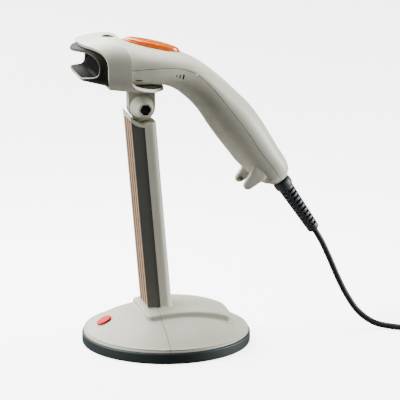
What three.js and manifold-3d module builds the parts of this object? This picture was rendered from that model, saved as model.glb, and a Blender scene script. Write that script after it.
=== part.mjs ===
import * as THREE from 'three';
import { ParametricGeometry } from 'three/addons/geometries/ParametricGeometry.js';
import { mergeVertices } from 'three/addons/utils/BufferGeometryUtils.js';
import Module from 'manifold-3d';

// Hands-free barcode scanner: a hand scanner resting in a tilting cradle on a weighted stand.
// Millimetres, +Z up. Origin: centre of the base on the table. The nose points to -Y.

const wasm = await Module();
wasm.setup();

// ---------------------------------------------------------------- driving dimensions
const GAP = 0.3;                    // between pieces that touch
const BASE_RADIUS = 65;
const RING_HEIGHT = 8.5;
const RING_INNER = 59.3;
const PLATE_THICKNESS = 2.6;
const BASE_SEAM_Y = -10;            // parting plane between the front and rear base shells
const PLINTH_FRONT_Y = -21;
const PLINTH_REAR_Y = 48;
const PLINTH_HALF_WIDTH = 28.5;
const PLINTH_REAR_HALF_WIDTH = 23;

const COLUMN_HALF_WIDTH = 14.4;
const COLUMN_FOOT_Z = 33;           // height at which the column's y values are stated
const COLUMN_FRONT_Y = -17.8;
const COLUMN_MID_Y = -7.4;          // joint between the dark insert and the pale channel
const COLUMN_REAR_Y = 2.2;
const COLUMN_LEAN = 0.083;          // forward lean, mm per mm of height
const COLUMN_WALL = 2.2;

const HINGE_Y = -19;
const HINGE_Z = 185.6;
const HINGE_CUT_RADIUS = 12;        // round cut in the column's top
const KNUCKLE_RADIUS = 11.3;        // round foot of the cradle's two cheeks
const NECK_REAR_Y = -11.2;
const TONGUE_HALF = 1.8;            // the column's tongue between the cheeks
const CHEEK_INNER = 2.6;
const CHEEK_OUTER = 4.8;
const BOSS_END_X = 17.5;
const BOSS_BASE_RADIUS = 9.4;
const BOSS_END_RADIUS = 5.3;
const BOLT_RADIUS = 1.95;
const NUT_ACROSS_FLATS = 7;

const HEAD_MID_Z = 219.5;           // height of the head's widest line
const COLLAR_HALF_WIDTH = 34;
const COLLAR_WALL = 2.4;
const BEZEL_HALF_WIDTH = 31;
const BEZEL_WALL = 2.4;
const BEZEL_BACK_Y = -47.3;
const WINDOW_Y = -55;
const WINDOW_LEAN = THREE.MathUtils.degToRad(20);
const CROWN_HOLE_RADIUS = 4.8;
const CROWN_HOLE_Y = -45;

const SHELL_WALL = 2.2;
const LENS_Y = -10.5;
const LENS_Z = 231.4;
const LENS_HALF_LENGTH = 22.3;
const LENS_HALF_WIDTH = 10.5;
const LENS_SLOPE = Math.atan(0.25);

const BOOT_START = new THREE.Vector3(0, 90.7, 122.3);
const BOOT_DIR = new THREE.Vector3(0, 0.56, -0.83).normalize();
const BOOT_LENGTH = 48.8;
const CORD_RADIUS = 2.35;
const CORD_PITCH = 4.8;             // distance between neighbouring turns
const COIL_Y = 240;
const COIL_MID_RADIUS = 27.5;
const COIL_COLUMNS = 4;             // turns side by side
const COIL_LAYERS = 3;
const TIE_THICKNESS = 0.8;

// ---------------------------------------------------------------- geometry helpers
const group = new THREE.Group();

function solid(geometry) {
  const bare = geometry.index ? geometry.toNonIndexed() : geometry.clone();
  for (const name of ['normal', 'uv']) bare.deleteAttribute(name);
  const welded = mergeVertices(bare, 1e-4);
  const index = welded.index.array;
  const triVerts = [];
  for (let i = 0; i < index.length; i += 3) {
    const [a, b, c] = [index[i], index[i + 1], index[i + 2]];
    if (a !== b && b !== c && c !== a) triVerts.push(a, b, c);
  }
  const mesh = new wasm.Mesh({
    numProp: 3,
    vertProperties: Float32Array.from(welded.attributes.position.array),
    triVerts: Uint32Array.from(triVerts),
  });
  return new wasm.Manifold(mesh);
}

function join(...shapes) {
  return shapes.reduce((sum, shape) => sum.add(shape));
}

function piece(name, shape, colour, roughness, metalness = 0) {
  const { vertProperties, triVerts, numProp } = shape.getMesh();
  const geometry = new THREE.BufferGeometry();
  const points = new THREE.InterleavedBuffer(vertProperties, numProp);
  geometry.setAttribute('position', new THREE.InterleavedBufferAttribute(points, 3, 0));
  geometry.setIndex(new THREE.BufferAttribute(triVerts, 1));
  geometry.computeVertexNormals();
  const mesh = new THREE.Mesh(
    geometry, new THREE.MeshStandardMaterial({ color: colour, roughness, metalness }));
  mesh.name = name;
  group.add(mesh);
}

// box between two corners
function block(low, high) {
  const size = high.map((value, i) => value - low[i]);
  const geometry = new THREE.BoxGeometry(...size);
  return solid(geometry).translate(low.map((value, i) => value + size[i] / 2));
}

// solid of revolution about +Z; the profile is a closed list of [radius, z]
function turned(profile, segments = 24) {
  const points = [...profile, profile[0]].map(([r, z]) => new THREE.Vector2(r, z));
  const geometry = new THREE.LatheGeometry(points, segments);
  const shape = solid(geometry.rotateX(Math.PI / 2));
  return shape.volume() < 0 ? solid(flipped(geometry)) : shape;
}

function flipped(geometry) {
  const copy = geometry.toNonIndexed();
  const position = copy.attributes.position;
  for (let i = 0; i < position.count; i += 3) {
    const a = new THREE.Vector3().fromBufferAttribute(position, i + 1);
    const b = new THREE.Vector3().fromBufferAttribute(position, i + 2);
    position.setXYZ(i + 1, b.x, b.y, b.z);
    position.setXYZ(i + 2, a.x, a.y, a.z);
  }
  return copy;
}

// cylinder along X between two x values, centred at (y, z)
function bar(x0, x1, y, z, r0, r1 = r0, segments = 20) {
  const geometry = new THREE.CylinderGeometry(r1, r0, x1 - x0, segments);
  geometry.rotateZ(-Math.PI / 2).translate((x0 + x1) / 2, y, z);
  return solid(geometry);
}

// vertical cylinder
function post(x, y, z0, z1, r0, r1 = r0, segments = 16) {
  const geometry = new THREE.CylinderGeometry(r1, r0, z1 - z0, segments);
  geometry.rotateX(Math.PI / 2).translate(x, y, (z0 + z1) / 2);
  return solid(geometry);
}

// outline in the Y-Z plane, extruded along X from x0 to x1
function sideCut(outline, x0, x1) {
  const shape = new THREE.Shape(outline.map(([y, z]) => new THREE.Vector2(y, z)));
  const geometry = new THREE.ExtrudeGeometry(shape, { depth: x1 - x0, bevelEnabled: false });
  const axes = new THREE.Matrix4().makeBasis(
    new THREE.Vector3(0, 1, 0), new THREE.Vector3(0, 0, 1), new THREE.Vector3(1, 0, 0));
  return solid(geometry.applyMatrix4(axes).translate(x0, 0, 0));
}

// outline in the X-Y plane, extruded up from z0 to z1
function planCut(shape, z0, z1, curveSegments = 4) {
  const geometry = new THREE.ExtrudeGeometry(
    shape, { depth: z1 - z0, bevelEnabled: false, curveSegments });
  return solid(geometry.translate(0, 0, z0));
}

// closed ring-shaped surface: point(u, v) with both u and v running round once
function ring(point, slices, stacks) {
  const geometry = new ParametricGeometry((u, v, target) => {
    target.copy(point(u % 1, v % 1));
  }, slices, stacks);
  const shape = solid(geometry);
  return shape.volume() < 0 ? solid(flipped(geometry)) : shape;
}

// straight-line interpolation in a list of [at, value] pairs
function along(table, at) {
  let i = 1;
  while (i < table.length - 1 && at > table[i][0]) i += 1;
  const [[a, va], [b, vb]] = [table[i - 1], table[i]];
  const t = Math.min(1, Math.max(0, (at - a) / (b - a)));
  return va + (vb - va) * t;
}

// superellipse: angle 0 is the top, quarter turn is +X
function superPoint(angle, halfWidth, up, down, power) {
  const [s, c] = [Math.sin(angle), Math.cos(angle)];
  const x = halfWidth * Math.sign(s) * Math.abs(s) ** (2 / power);
  const z = (c > 0 ? up : down) * Math.sign(c) * Math.abs(c) ** (2 / power);
  return [x, z];
}

// angle round a section, 0 at the crown and 180 at the keel, on either side
function degreesFromCrown(angle) {
  const degrees = THREE.MathUtils.radToDeg(angle) % 360;
  return degrees > 180 ? 360 - degrees : degrees;
}

// wall cut from a tube that runs along Y: outer face, rear edge, inner face, front edge
function wallRing(outline, wall, frontY, rearY, rows, slices) {
  const loop = 2 * rows + 2;
  return ring((u, v) => {
    const angle = u * 2 * Math.PI;
    const step = Math.round(v * loop) % loop;
    const outside = step <= rows;
    const part = outside ? step / rows : (loop - 1 - step) / rows;
    const front = frontY(degreesFromCrown(angle));
    const rear = rearY(degreesFromCrown(angle));
    const y = front + (rear - front) * part;
    const [x, z] = outline(y, angle, outside ? 0 : wall);
    return new THREE.Vector3(x, y, z);
  }, slices, loop);
}

// ---------------------------------------------------------------- base
const DOME_SIDES = 40;
const DOME = [[63.6, 8.8], [63.2, 9.8], [60, 11.9], [56, 14.4], [52, 16.6], [46, 19.4],
  [38, 22.4], [28, 25.2], [16, 27.2], [0, 28]];
const DOME_INSIDE = [[0, 25.6], [16, 24.8], [28, 22.8], [38, 20], [46, 17], [52, 14],
  [56.5, 11.2], [56.5, 0], [0, 0]];
const PLINTH_TOP = [[62, 10], [62, 14], [52, 21.5], [46, 24.3], [38, 27], [28, 29], [16, 30.4],
  [0, 31], [0, 10]];
const SCREW_PLACES = [90, 210, 330].map((degrees) => {
  const angle = THREE.MathUtils.degToRad(degrees);
  return [54.3 * Math.cos(angle), 54.3 * Math.sin(angle)];
});

function plinthOutline(inset) {
  const corner = 6;
  const front = PLINTH_FRONT_Y + inset;
  const rear = PLINTH_REAR_Y - inset;
  const half = PLINTH_HALF_WIDTH - inset;
  const rearHalf = PLINTH_REAR_HALF_WIDTH - inset;
  const shape = new THREE.Shape();
  shape.moveTo(-half + corner, front);
  shape.lineTo(half - corner, front);
  shape.quadraticCurveTo(half, front, half, front + corner);
  shape.lineTo(rearHalf, rear - corner);
  shape.quadraticCurveTo(rearHalf, rear, rearHalf - corner, rear);
  shape.lineTo(corner - rearHalf, rear);
  shape.quadraticCurveTo(-rearHalf, rear, -rearHalf, rear - corner);
  shape.lineTo(-half, front + corner);
  shape.quadraticCurveTo(-half, front, -half + corner, front);
  return shape;
}

function baseShell() {
  const dome = turned([...DOME, [0, 2.9], [58.9, 2.9], [58.9, 8.8]], DOME_SIDES);
  const plinth = planCut(plinthOutline(0), 12, 34).intersect(turned(PLINTH_TOP, DOME_SIDES));
  const plinthHollow = planCut(plinthOutline(COLUMN_WALL), 8, 34)
    .intersect(turned(PLINTH_TOP, DOME_SIDES).translate([0, 0, -COLUMN_WALL]));
  const hollow = turned(DOME_INSIDE, DOME_SIDES);
  const pad = columnBlock(COLUMN_FRONT_Y, COLUMN_MID_Y, 26, COLUMN_FOOT_Z + GAP);
  return join(join(dome, plinth).subtract(plinthHollow).subtract(hollow), pad);
}

function halfSpace(y0, y1) {
  return block([-90, y0, -5], [90, y1, 260]);
}

// ---------------------------------------------------------------- column
// leaning prism with its section given at COLUMN_FOOT_Z
function leaning(shape, z0, z1) {
  const geometry = new THREE.ExtrudeGeometry(
    shape, { depth: z1 - z0, bevelEnabled: false, curveSegments: 4 });
  geometry.translate(0, 0, z0);
  const position = geometry.attributes.position;
  for (let i = 0; i < position.count; i += 1) {
    const lean = COLUMN_LEAN * (position.getZ(i) - COLUMN_FOOT_Z);
    position.setY(i, position.getY(i) - lean);
  }
  return solid(geometry);
}

function rectangle(x0, x1, y0, y1, rearRadius = 0) {
  const shape = new THREE.Shape();
  shape.moveTo(x0, y0);
  shape.lineTo(x1, y0);
  shape.lineTo(x1, y1 - rearRadius);
  if (rearRadius) shape.quadraticCurveTo(x1, y1, x1 - rearRadius, y1);
  shape.lineTo(x0 + rearRadius, y1);
  if (rearRadius) shape.quadraticCurveTo(x0, y1, x0, y1 - rearRadius);
  shape.closePath();
  return shape;
}

function columnBlock(y0, y1, z0, z1, inset = 0, rearRadius = 0) {
  const half = COLUMN_HALF_WIDTH - inset;
  return leaning(rectangle(-half, half, y0, y1, rearRadius), z0, z1);
}

function hingeBar(radius, half = 30) {
  return bar(-half, half, HINGE_Y, HINGE_Z, radius, radius, 32);
}

function columnChannel() {
  const corner = 5;
  const outer = columnBlock(COLUMN_MID_Y, COLUMN_REAR_Y, 24, 190, 0, corner);
  const inner = columnBlock(
    COLUMN_MID_Y - 1, COLUMN_REAR_Y - COLUMN_WALL, 20, 195, COLUMN_WALL, corner - COLUMN_WALL);
  const cap = columnBlock(COLUMN_FRONT_Y, COLUMN_REAR_Y, 165, 183.5, 0, corner)
    .intersect(hingeBar(HINGE_CUT_RADIUS + 2.1));
  const tongue = sideCut([[-21, 150], [-13.5, 150], [-12, HINGE_Z], [-26, HINGE_Z],
    [-25.5, 177], [-22.5, 173]], -TONGUE_HALF, TONGUE_HALF);
  const head = bar(-TONGUE_HALF, TONGUE_HALF, HINGE_Y, HINGE_Z, 8.5);
  const web = columnBlock(COLUMN_MID_Y - 4, COLUMN_REAR_Y - 1, 150, 172, 12.6);
  return outer.subtract(inner).add(cap).subtract(hingeBar(HINGE_CUT_RADIUS))
    .add(join(tongue, head, web)).subtract(bar(-30, 30, HINGE_Y, HINGE_Z, BOLT_RADIUS + 0.15));
}

const FIN_COUNT = 5;
const FIN_DEPTH = 2.4;
const FIN_GROOVE = 2.6;

function insertSection() {
  const half = COLUMN_HALF_WIDTH;
  const fin = (2 * half - (FIN_COUNT - 1) * FIN_GROOVE) / FIN_COUNT;
  const shape = new THREE.Shape();
  shape.moveTo(-half, COLUMN_FRONT_Y);
  for (let i = 0; i < FIN_COUNT; i += 1) {
    const x = -half + i * (fin + FIN_GROOVE);
    shape.lineTo(x + fin, COLUMN_FRONT_Y);
    if (i < FIN_COUNT - 1) {
      shape.lineTo(x + fin, COLUMN_FRONT_Y + FIN_DEPTH);
      shape.lineTo(x + fin + FIN_GROOVE, COLUMN_FRONT_Y + FIN_DEPTH);
      shape.lineTo(x + fin + FIN_GROOVE, COLUMN_FRONT_Y);
    }
  }
  const back = COLUMN_MID_Y - GAP;
  const floor = COLUMN_FRONT_Y + FIN_DEPTH + COLUMN_WALL;
  shape.lineTo(half, back);
  shape.lineTo(half - COLUMN_WALL, back);
  shape.lineTo(half - COLUMN_WALL, floor);
  shape.lineTo(COLUMN_WALL - half, floor);
  shape.lineTo(COLUMN_WALL - half, back);
  shape.lineTo(-half, back);
  shape.closePath();
  return shape;
}

// ---------------------------------------------------------------- cradle
const COLLAR_TOP = [[-68, 237.3], [-60, 240], [-50, 242], [-44, 242.2], [-36, 240.8]];
const COLLAR_BOTTOM = [[-53, 201.6], [-47, 201.4], [-31, 199.2], [-12, 197.7], [0, 197]];
const COLLAR_FRONT = [[0, -67.5], [20, -65.5], [40, -60], [60, -54], [80, -50.6], [100, -50],
  [125, -51.5], [150, -52], [180, -52]];
const COLLAR_REAR = [[0, -37.5], [40, -36.5], [70, -33], [100, -32.2], [118, -31],
  [132, -27], [145, -20], [160, -10], [180, -2]];

function collarOutline(y, angle, inset) {
  const up = along(COLLAR_TOP, y) - HEAD_MID_Z;
  const down = HEAD_MID_Z - along(COLLAR_BOTTOM, y);
  const [x, z] = superPoint(
    angle, COLLAR_HALF_WIDTH - inset, up - inset, down - inset, Math.cos(angle) > 0 ? 2.5 : 3);
  return [x, HEAD_MID_Z + z];
}

function neck() {
  const front = HINGE_Y - KNUCKLE_RADIUS;
  const strip = sideCut([[front, 170], [NECK_REAR_Y, 170], [NECK_REAR_Y, 201.5],
    [front, 201.5]], -CHEEK_OUTER, CHEEK_OUTER);
  const round = join(hingeBar(KNUCKLE_RADIUS), block([-30, -40, HINGE_Z], [30, 0, 210]));
  const slot = join(block([-CHEEK_INNER, -40, 160], [CHEEK_INNER, 0, HINGE_Z]),
    bar(-CHEEK_INNER, CHEEK_INNER, HINGE_Y, HINGE_Z, 9.4),
    block([-CHEEK_INNER, -40, HINGE_Z - 1], [CHEEK_INNER, 0, HINGE_Z + 9.4]));
  const pedestal = block([-10, front, HINGE_Z + 10.6], [10, NECK_REAR_Y, 201.5]);
  const bosses = join(
    bar(CHEEK_OUTER - 1, BOSS_END_X, HINGE_Y, HINGE_Z, BOSS_BASE_RADIUS, BOSS_END_RADIUS),
    bar(-BOSS_END_X, 1 - CHEEK_OUTER, HINGE_Y, HINGE_Z, BOSS_END_RADIUS, BOSS_BASE_RADIUS));
  return join(strip.intersect(round), pedestal, bosses).subtract(slot);
}

function hexPocket(x0, x1, flats) {
  const radius = flats / 2 / Math.cos(Math.PI / 6);
  return bar(x0, x1, HINGE_Y, HINGE_Z, radius, radius, 6);
}

function cradle() {
  const collar = wallRing(collarOutline, COLLAR_WALL,
    (degrees) => along(COLLAR_FRONT, degrees), (degrees) => along(COLLAR_REAR, degrees), 5, 40);
  return join(collar, neck())
    .subtract(post(0, CROWN_HOLE_Y, 225, 250, CROWN_HOLE_RADIUS))
    .subtract(bar(-30, 30, HINGE_Y, HINGE_Z, BOLT_RADIUS + 0.15))
    .subtract(hexPocket(BOSS_END_X - 6, BOSS_END_X + 1, NUT_ACROSS_FLATS + 0.7))
    .subtract(bar(-BOSS_END_X - 1, 4 - BOSS_END_X, HINGE_Y, HINGE_Z, 4.3));
}

// ---------------------------------------------------------------- scanner shells
// stations from nose to tail: top [y, z], bottom [y, z], half width, parting line
// (fraction of the way down), section power
const STATIONS = [
  [[-47, 238.1], [-47, 204.3], 30.6, 0.58, 2.6],
  [[-38, 237.9], [-38, 203.6], 30.5, 0.57, 2.6],
  [[-26, 235.2], [-26, 202.6], 30, 0.53, 2.6],
  [[-12, 231.9], [-13, 201.8], 28.4, 0.46, 2.6],
  [[0, 228.9], [-2, 200.6], 26, 0.39, 2.5],
  [[12, 225.7], [6.7, 197.6], 23, 0.345, 2.4],
  [[22, 221.2], [13.5, 193], 21, 0.325, 2.35],
  [[33, 213.7], [20, 187], 19.4, 0.35, 2.3],
  [[44, 204.4], [26.5, 179], 18.3, 0.39, 2.3],
  [[55, 194], [33, 169], 17.6, 0.42, 2.3],
  [[65, 183.8], [40.5, 158.3], 17.3, 0.44, 2.3],
  [[74, 172.4], [48.5, 148], 17.2, 0.45, 2.3],
  [[82, 160.3], [55, 139.5], 17.2, 0.46, 2.4],
  [[89, 148.6], [61, 133.5], 17.1, 0.46, 2.5],
  [[93.6, 140.5], [67.5, 127.5], 16.6, 0.465, 2.6],
  [[96.2, 133], [75, 121.8], 14.5, 0.48, 2.6],
  [[96, 127.6], [83.4, 119], 9.6, 0.5, 2.4],
];

function stationCurve(pick) {
  const points = STATIONS.map((station) => new THREE.Vector3(...pick(station)));
  return new THREE.CatmullRomCurve3(points, false, 'centripetal');
}

const topLine = stationCurve(([top]) => [0, ...top]);
const bottomLine = stationCurve(([, bottom]) => [0, ...bottom]);
const sectionLine = stationCurve(([, , half, seam, power]) => [half, seam * 10, power]);

function bodyPoint(t, angle, inset) {
  const top = topLine.getPoint(t);
  const bottom = bottomLine.getPoint(t);
  const { x: half, y: seam, z: power } = sectionLine.getPoint(t);
  const middle = top.clone().lerp(bottom, seam / 10);
  const [x, up] = superPoint(
    angle, half - inset, top.distanceTo(middle) - inset, bottom.distanceTo(middle) - inset, power);
  return middle.addScaledVector(top.sub(bottom).normalize(), up).setX(x);
}

function bodyRing(outerInset, innerInset, rows, slices) {
  const loop = 2 * rows + 2;
  return ring((u, v) => {
    const step = Math.round(v * loop) % loop;
    const outside = step <= rows;
    const t = outside ? step / rows : (loop - 1 - step) / rows;
    return bodyPoint(t, u * 2 * Math.PI, outside ? outerInset : innerInset);
  }, slices, loop);
}

function seamOutline(offset, edge) {
  const line = Array.from({ length: 19 }, (_, i) => {
    const side = bodyPoint(i / 18, Math.PI / 2, 0);
    return [side.y, side.z + offset];
  });
  const [front, rear] = [line[0], line[line.length - 1]];
  return [[front[0] - 8, front[1]], ...line, [rear[0] + 4, rear[1] - 4], ...edge];
}

function scannerShells() {
  const body = bodyRing(0, SHELL_WALL, 18, 24);
  const above = sideCut(seamOutline(0.12, [[130, 120], [130, 260], [-55, 260]]), -40, 40);
  const below = sideCut(seamOutline(-0.18, [[95, 100], [-55, 100]]), -40, 40);
  return [body.intersect(above), body.intersect(below)];
}

// lens footprint: an ellipse on the sloping crown, pushed in along its own normal
function lensShape(grow, profile) {
  const points = profile.map(([r, z]) => new THREE.Vector2(r, z));
  const geometry = new THREE.LatheGeometry(points, 24);
  geometry.rotateX(Math.PI / 2);
  geometry.scale(LENS_HALF_WIDTH + grow, LENS_HALF_LENGTH + grow, 1);
  geometry.rotateX(-LENS_SLOPE).translate(0, LENS_Y, LENS_Z);
  const shape = solid(geometry);
  return shape.volume() < 0 ? solid(flipped(geometry)) : shape;
}

function lensOpening() {
  return lensShape(0.5, [[0, -12], [1, -12], [1, 12], [0, 12]]);
}

// two flanges of the heel, with a shallow saddle between them
function heelFlange(side) {
  const outline = [[60, 141], [61.3, 131], [57.9, 124.2], [58.3, 119.8], [61, 117.8],
    [64.5, 119.6], [70, 124], [76, 127], [74, 137]];
  const [inner, outer] = [10.5, 15.6].map((x) => x * side).sort((a, b) => a - b);
  return sideCut(outline, inner, outer);
}

function soundSlots() {
  return join(...[0, 1, 2].map((i) => {
    const slot = block([10, -0.6, -1 - 0.35 * i], [30, 0.6, 1 + 0.35 * i]);
    return slot.rotate([-20, 0, 0]).translate([0, 5 + 2.7 * i, 211 - 0.6 * i]);
  }));
}

// ---------------------------------------------------------------- nose bezel
const BEZEL_TOP = [[-73, 232.6], [-67, 234.4], [-60, 236.5], [-50, 238], [-47, 238.1]];
const BEZEL_BOTTOM = [[-68, 210.4], [-47, 204.4]];
const BEZEL_LIP = [[0, -72.5], [20, -69], [40, -63.5], [58, -59.5], [75, -56.9], [90, -56.4],
  [105, -59], [116, -64.5], [126, -67.6], [180, -67.8]];

function bezelOutline(y, angle, inset) {
  const up = along(BEZEL_TOP, y) - HEAD_MID_Z;
  const down = HEAD_MID_Z - along(BEZEL_BOTTOM, y);
  const [x, z] = superPoint(
    angle, BEZEL_HALF_WIDTH - inset, up - inset, down - inset, Math.cos(angle) > 0 ? 2.5 : 3.4);
  return [x, HEAD_MID_Z + z];
}

function bezel() {
  return wallRing(bezelOutline, BEZEL_WALL, (degrees) => along(BEZEL_LIP, degrees),
    () => BEZEL_BACK_Y, 4, 36);
}

// dark pane that leans back from its lower edge
function scanWindow() {
  const outline = Array.from({ length: 24 }, (_, i) => new THREE.Vector2(
    ...superPoint(i / 24 * 2 * Math.PI, 27.4, 13.6, 7.6, 2.6)));
  const geometry = new THREE.ExtrudeGeometry(
    new THREE.Shape(outline), { depth: 1.5, bevelEnabled: false });
  geometry.rotateX(Math.PI / 2 - WINDOW_LEAN).translate(0, WINDOW_Y, HEAD_MID_Z);
  return solid(geometry);
}

// plate in the head, leaning back from its lower edge
function tiltedPlate(size, centre, degrees) {
  const low = size.map((value) => -value / 2);
  const high = size.map((value) => value / 2);
  return block(low, high).rotate([degrees, 0, 0]).translate(centre);
}

// ---------------------------------------------------------------- cord
const RUN_POINTS = [[0, 118.2, 81.6], [0, 124.4, 71], [0, 131, 57], [0.5, 137.6, 41.5],
  [2, 145, 26.5], [4.5, 154, 13.5], [8.5, 165, 5.4], [14, 177.5, 2.7], [21, 190.5, 2.45],
  [29, 203, 2.45], [33.6, 213, 2.6], [34.7, 220, 2.8]];
const TAIL_POINTS = [[33.2, 262.2, 12.4], [30, 269, 8.6], [24, 275.2, 4.9], [16, 280, 4],
  [8, 284.6, 4]];
const PLUG_HEADING = 30;            // degrees the plug's axis turns from -X towards +Y

function tube(points, radius, steps, sides = 10) {
  const circle = new THREE.Shape();
  for (let i = 0; i < sides; i += 1) {
    const angle = i / sides * 2 * Math.PI;
    const corner = [radius * Math.cos(angle), radius * Math.sin(angle)];
    if (i) circle.lineTo(...corner);
    else circle.moveTo(...corner);
  }
  circle.closePath();
  const path = new THREE.CatmullRomCurve3(
    points.map((point) => new THREE.Vector3(...point)), false, 'centripetal');
  return solid(new THREE.ExtrudeGeometry(
    circle, { steps, bevelEnabled: false, extrudePath: path }));
}

// solid turned about +Z, then laid along a direction from a start point
function turnedAlong(profile, start, direction, segments = 24) {
  const turn = new THREE.Quaternion().setFromUnitVectors(new THREE.Vector3(0, 0, 1), direction);
  const place = new THREE.Matrix4().compose(start, turn, new THREE.Vector3(1, 1, 1));
  return turned(profile, segments).transform(place.elements);
}

// piece of the plug: a box along its axis, starting a distance from the cord's end
function plugBox(from, to, halfWidth, z0, z1) {
  const [x, y] = TAIL_POINTS[TAIL_POINTS.length - 1];
  return block([-to, -halfWidth, z0], [-from, halfWidth, z1])
    .rotate([0, 0, -PLUG_HEADING]).translate([x, y, 0]);
}

// ---------------------------------------------------------------- assembly: stand
const PALE = 0xd6d5c9;
const DARK = 0x34362f;
const STEEL = 0x9a9c9e;
const BOARD = 0x2d5a3a;

piece('foot_ring', turned([[RING_INNER, 0], [64.3, 0], [BASE_RADIUS, 0.8],
  [BASE_RADIUS, RING_HEIGHT - 0.8], [64.3, RING_HEIGHT], [RING_INNER, RING_HEIGHT]], 56),
0x1f2a26, 0.7);

const screwHoles = join(...SCREW_PLACES.map(([x, y]) => join(
  post(x, y, -1, 1.5, 3.1), post(x, y, -1, 4, 1.6))));
piece('bottom_plate', turned([[0, 0], [RING_INNER - GAP, 0], [RING_INNER - GAP, PLATE_THICKNESS],
  [0, PLATE_THICKNESS]], 48).subtract(screwHoles), 0x3a3c3e, 0.5, 0.3);
SCREW_PLACES.forEach(([x, y], i) => {
  piece(`base_screw_${i + 1}`, join(post(x, y, 0.2, 1.2, 2.8, 2.8, 12),
    post(x, y, 1.1, 9, 1.3, 1.3, 8)), STEEL, 0.35, 0.9);
});
piece('ballast_weight', turned([[4, 3], [49, 3], [49, 10], [44, 12.5], [4, 12.5]], 28),
  0x4a4b4d, 0.6, 0.7);

const insertBody = leaning(insertSection(), 33.6, 180)
  .subtract(hingeBar(HINGE_CUT_RADIUS + 2.1 + GAP))
  .intersect(block([-30, -60, 30], [30, 10, 178]));
const shells = baseShell();
piece('base_front_shell', shells.intersect(halfSpace(-90, BASE_SEAM_Y - GAP / 2)), PALE, 0.5);
piece('stand_rear_shell', join(
  shells.intersect(halfSpace(BASE_SEAM_Y + GAP / 2, 90)), columnChannel()), PALE, 0.5);
piece('column_insert', insertBody, DARK, 0.55);

const BADGE_PLACE = new THREE.Vector3(0, -48.6, 18.6);
const BADGE_NORMAL = new THREE.Vector3(0, -0.46, 0.89).normalize();
piece('base_badge', turnedAlong([[0, 0.2], [6, 0.2], [6, 1], [5.6, 1.3], [0, 1.3]],
  BADGE_PLACE, BADGE_NORMAL), 0xb8202c, 0.35);

for (const [name, side] of [['friction_washer_near', 1], ['friction_washer_far', -1]]) {
  const [x0, x1] = [1.95 * side, 2.45 * side].sort((a, b) => a - b);
  piece(name, bar(x0, x1, HINGE_Y, HINGE_Z, 6).subtract(
    bar(-5, 5, HINGE_Y, HINGE_Z, BOLT_RADIUS + 0.15)), 0x2a2a2a, 0.8);
}

// ---------------------------------------------------------------- assembly: cradle
piece('scanner_cradle', cradle(), PALE, 0.45);
piece('hinge_bolt', join(bar(1.2 - BOSS_END_X, 3.7 - BOSS_END_X, HINGE_Y, HINGE_Z, 3.8),
  bar(3.6 - BOSS_END_X, BOSS_END_X - 4, HINGE_Y, HINGE_Z, BOLT_RADIUS)), STEEL, 0.35, 0.9);
piece('hinge_nut', hexPocket(BOSS_END_X - 5.6, BOSS_END_X - 2.6, NUT_ACROSS_FLATS)
  .subtract(bar(-5, 30, HINGE_Y, HINGE_Z, BOLT_RADIUS + 0.15)), 0x35363a, 0.4, 0.9);

// ---------------------------------------------------------------- assembly: scanner
const [upper, lower] = scannerShells();
piece('upper_shell', upper.subtract(lensOpening()), PALE, 0.45);
piece('lower_shell', join(lower, heelFlange(1), heelFlange(-1)).subtract(soundSlots())
  .subtract(bar(-14.2, 14.2, 62.2, 121.6, 1.9)), PALE, 0.45);

piece('nose_bezel', bezel(), DARK, 0.4);
piece('scan_window', scanWindow(), 0x0a0a0c, 0.1);
piece('trigger_lens', lensShape(0, [[0, -3.4], [1, -3.4], [1, 0.5], [0.95, 1.3], [0.8, 2.1],
  [0.5, 2.9], [0, 3.2]]), 0xf07a1c, 0.2);

piece('optical_chassis', join(block([-18, -45, 208.4], [18, -6, 210.2]),
  block([-18, -8, 210.1], [18, -6, 216])), 0x2b2c2e, 0.6);
piece('laser_module', bar(0, 18, 0, 0, 4.2).rotate([0, 0, 90]).translate([14, -32, 214.8]),
  0xb48a3c, 0.3, 0.8);
piece('scan_motor', post(0, -32, 210.5, 214.8, 5), 0x5a3b22, 0.5);
piece('scan_mirror', tiltedPlate([12, 1.2, 7], [0, -32, 218.6], 0), 0xc8ccd0, 0.05, 1);
piece('collecting_mirror', tiltedPlate([24, 2.4, 10], [-4, -13.5, 216.2], 18), 0xc8ccd0, 0.05, 1);
piece('photo_sensor', block([-17, -41, 210.5], [-10, -37.5, 216.5]), 0x1a1a1e, 0.4);

// boards lie along the crown and along the handle
const alongCrown = (shape, depth) => shape.translate([0, 0, -depth])
  .rotate([-THREE.MathUtils.radToDeg(LENS_SLOPE), 0, 0]).translate([0, LENS_Y, LENS_Z]);
piece('switch_board', alongCrown(block([-9, -20, -0.7], [9, 20, 0.7]), 8.6), BOARD, 0.5);
piece('trigger_switch', alongCrown(block([-3, -3, 0], [3, 3, 3.2]), 7.5), 0x1c1c1c, 0.5);
for (const [name, y] of [['status_light_1', -13], ['status_light_2', 13]]) {
  piece(name, alongCrown(post(0, y, 0, 3, 1.5, 1.5, 12), 7.5), 0xe8e4da, 0.2);
}
piece('sounder', bar(8, 14, 9, 209, 5), 0x161616, 0.5);

const HANDLE_DEGREES = -47.5;
const alongHandle = (shape) => shape.rotate([HANDLE_DEGREES, 0, 0]).translate([0, 48, 178]);
piece('main_board', alongHandle(block([-11, -33, -0.8], [11, 33, 0.8])), BOARD, 0.5);
piece('cable_socket', alongHandle(block([-6, 24, -7], [6, 32, -1.1])), 0xe6e2d4, 0.5);
piece('processor', alongHandle(block([-6, -8, 1.1], [6, 4, 2.6])), 0x18181a, 0.4);

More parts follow.
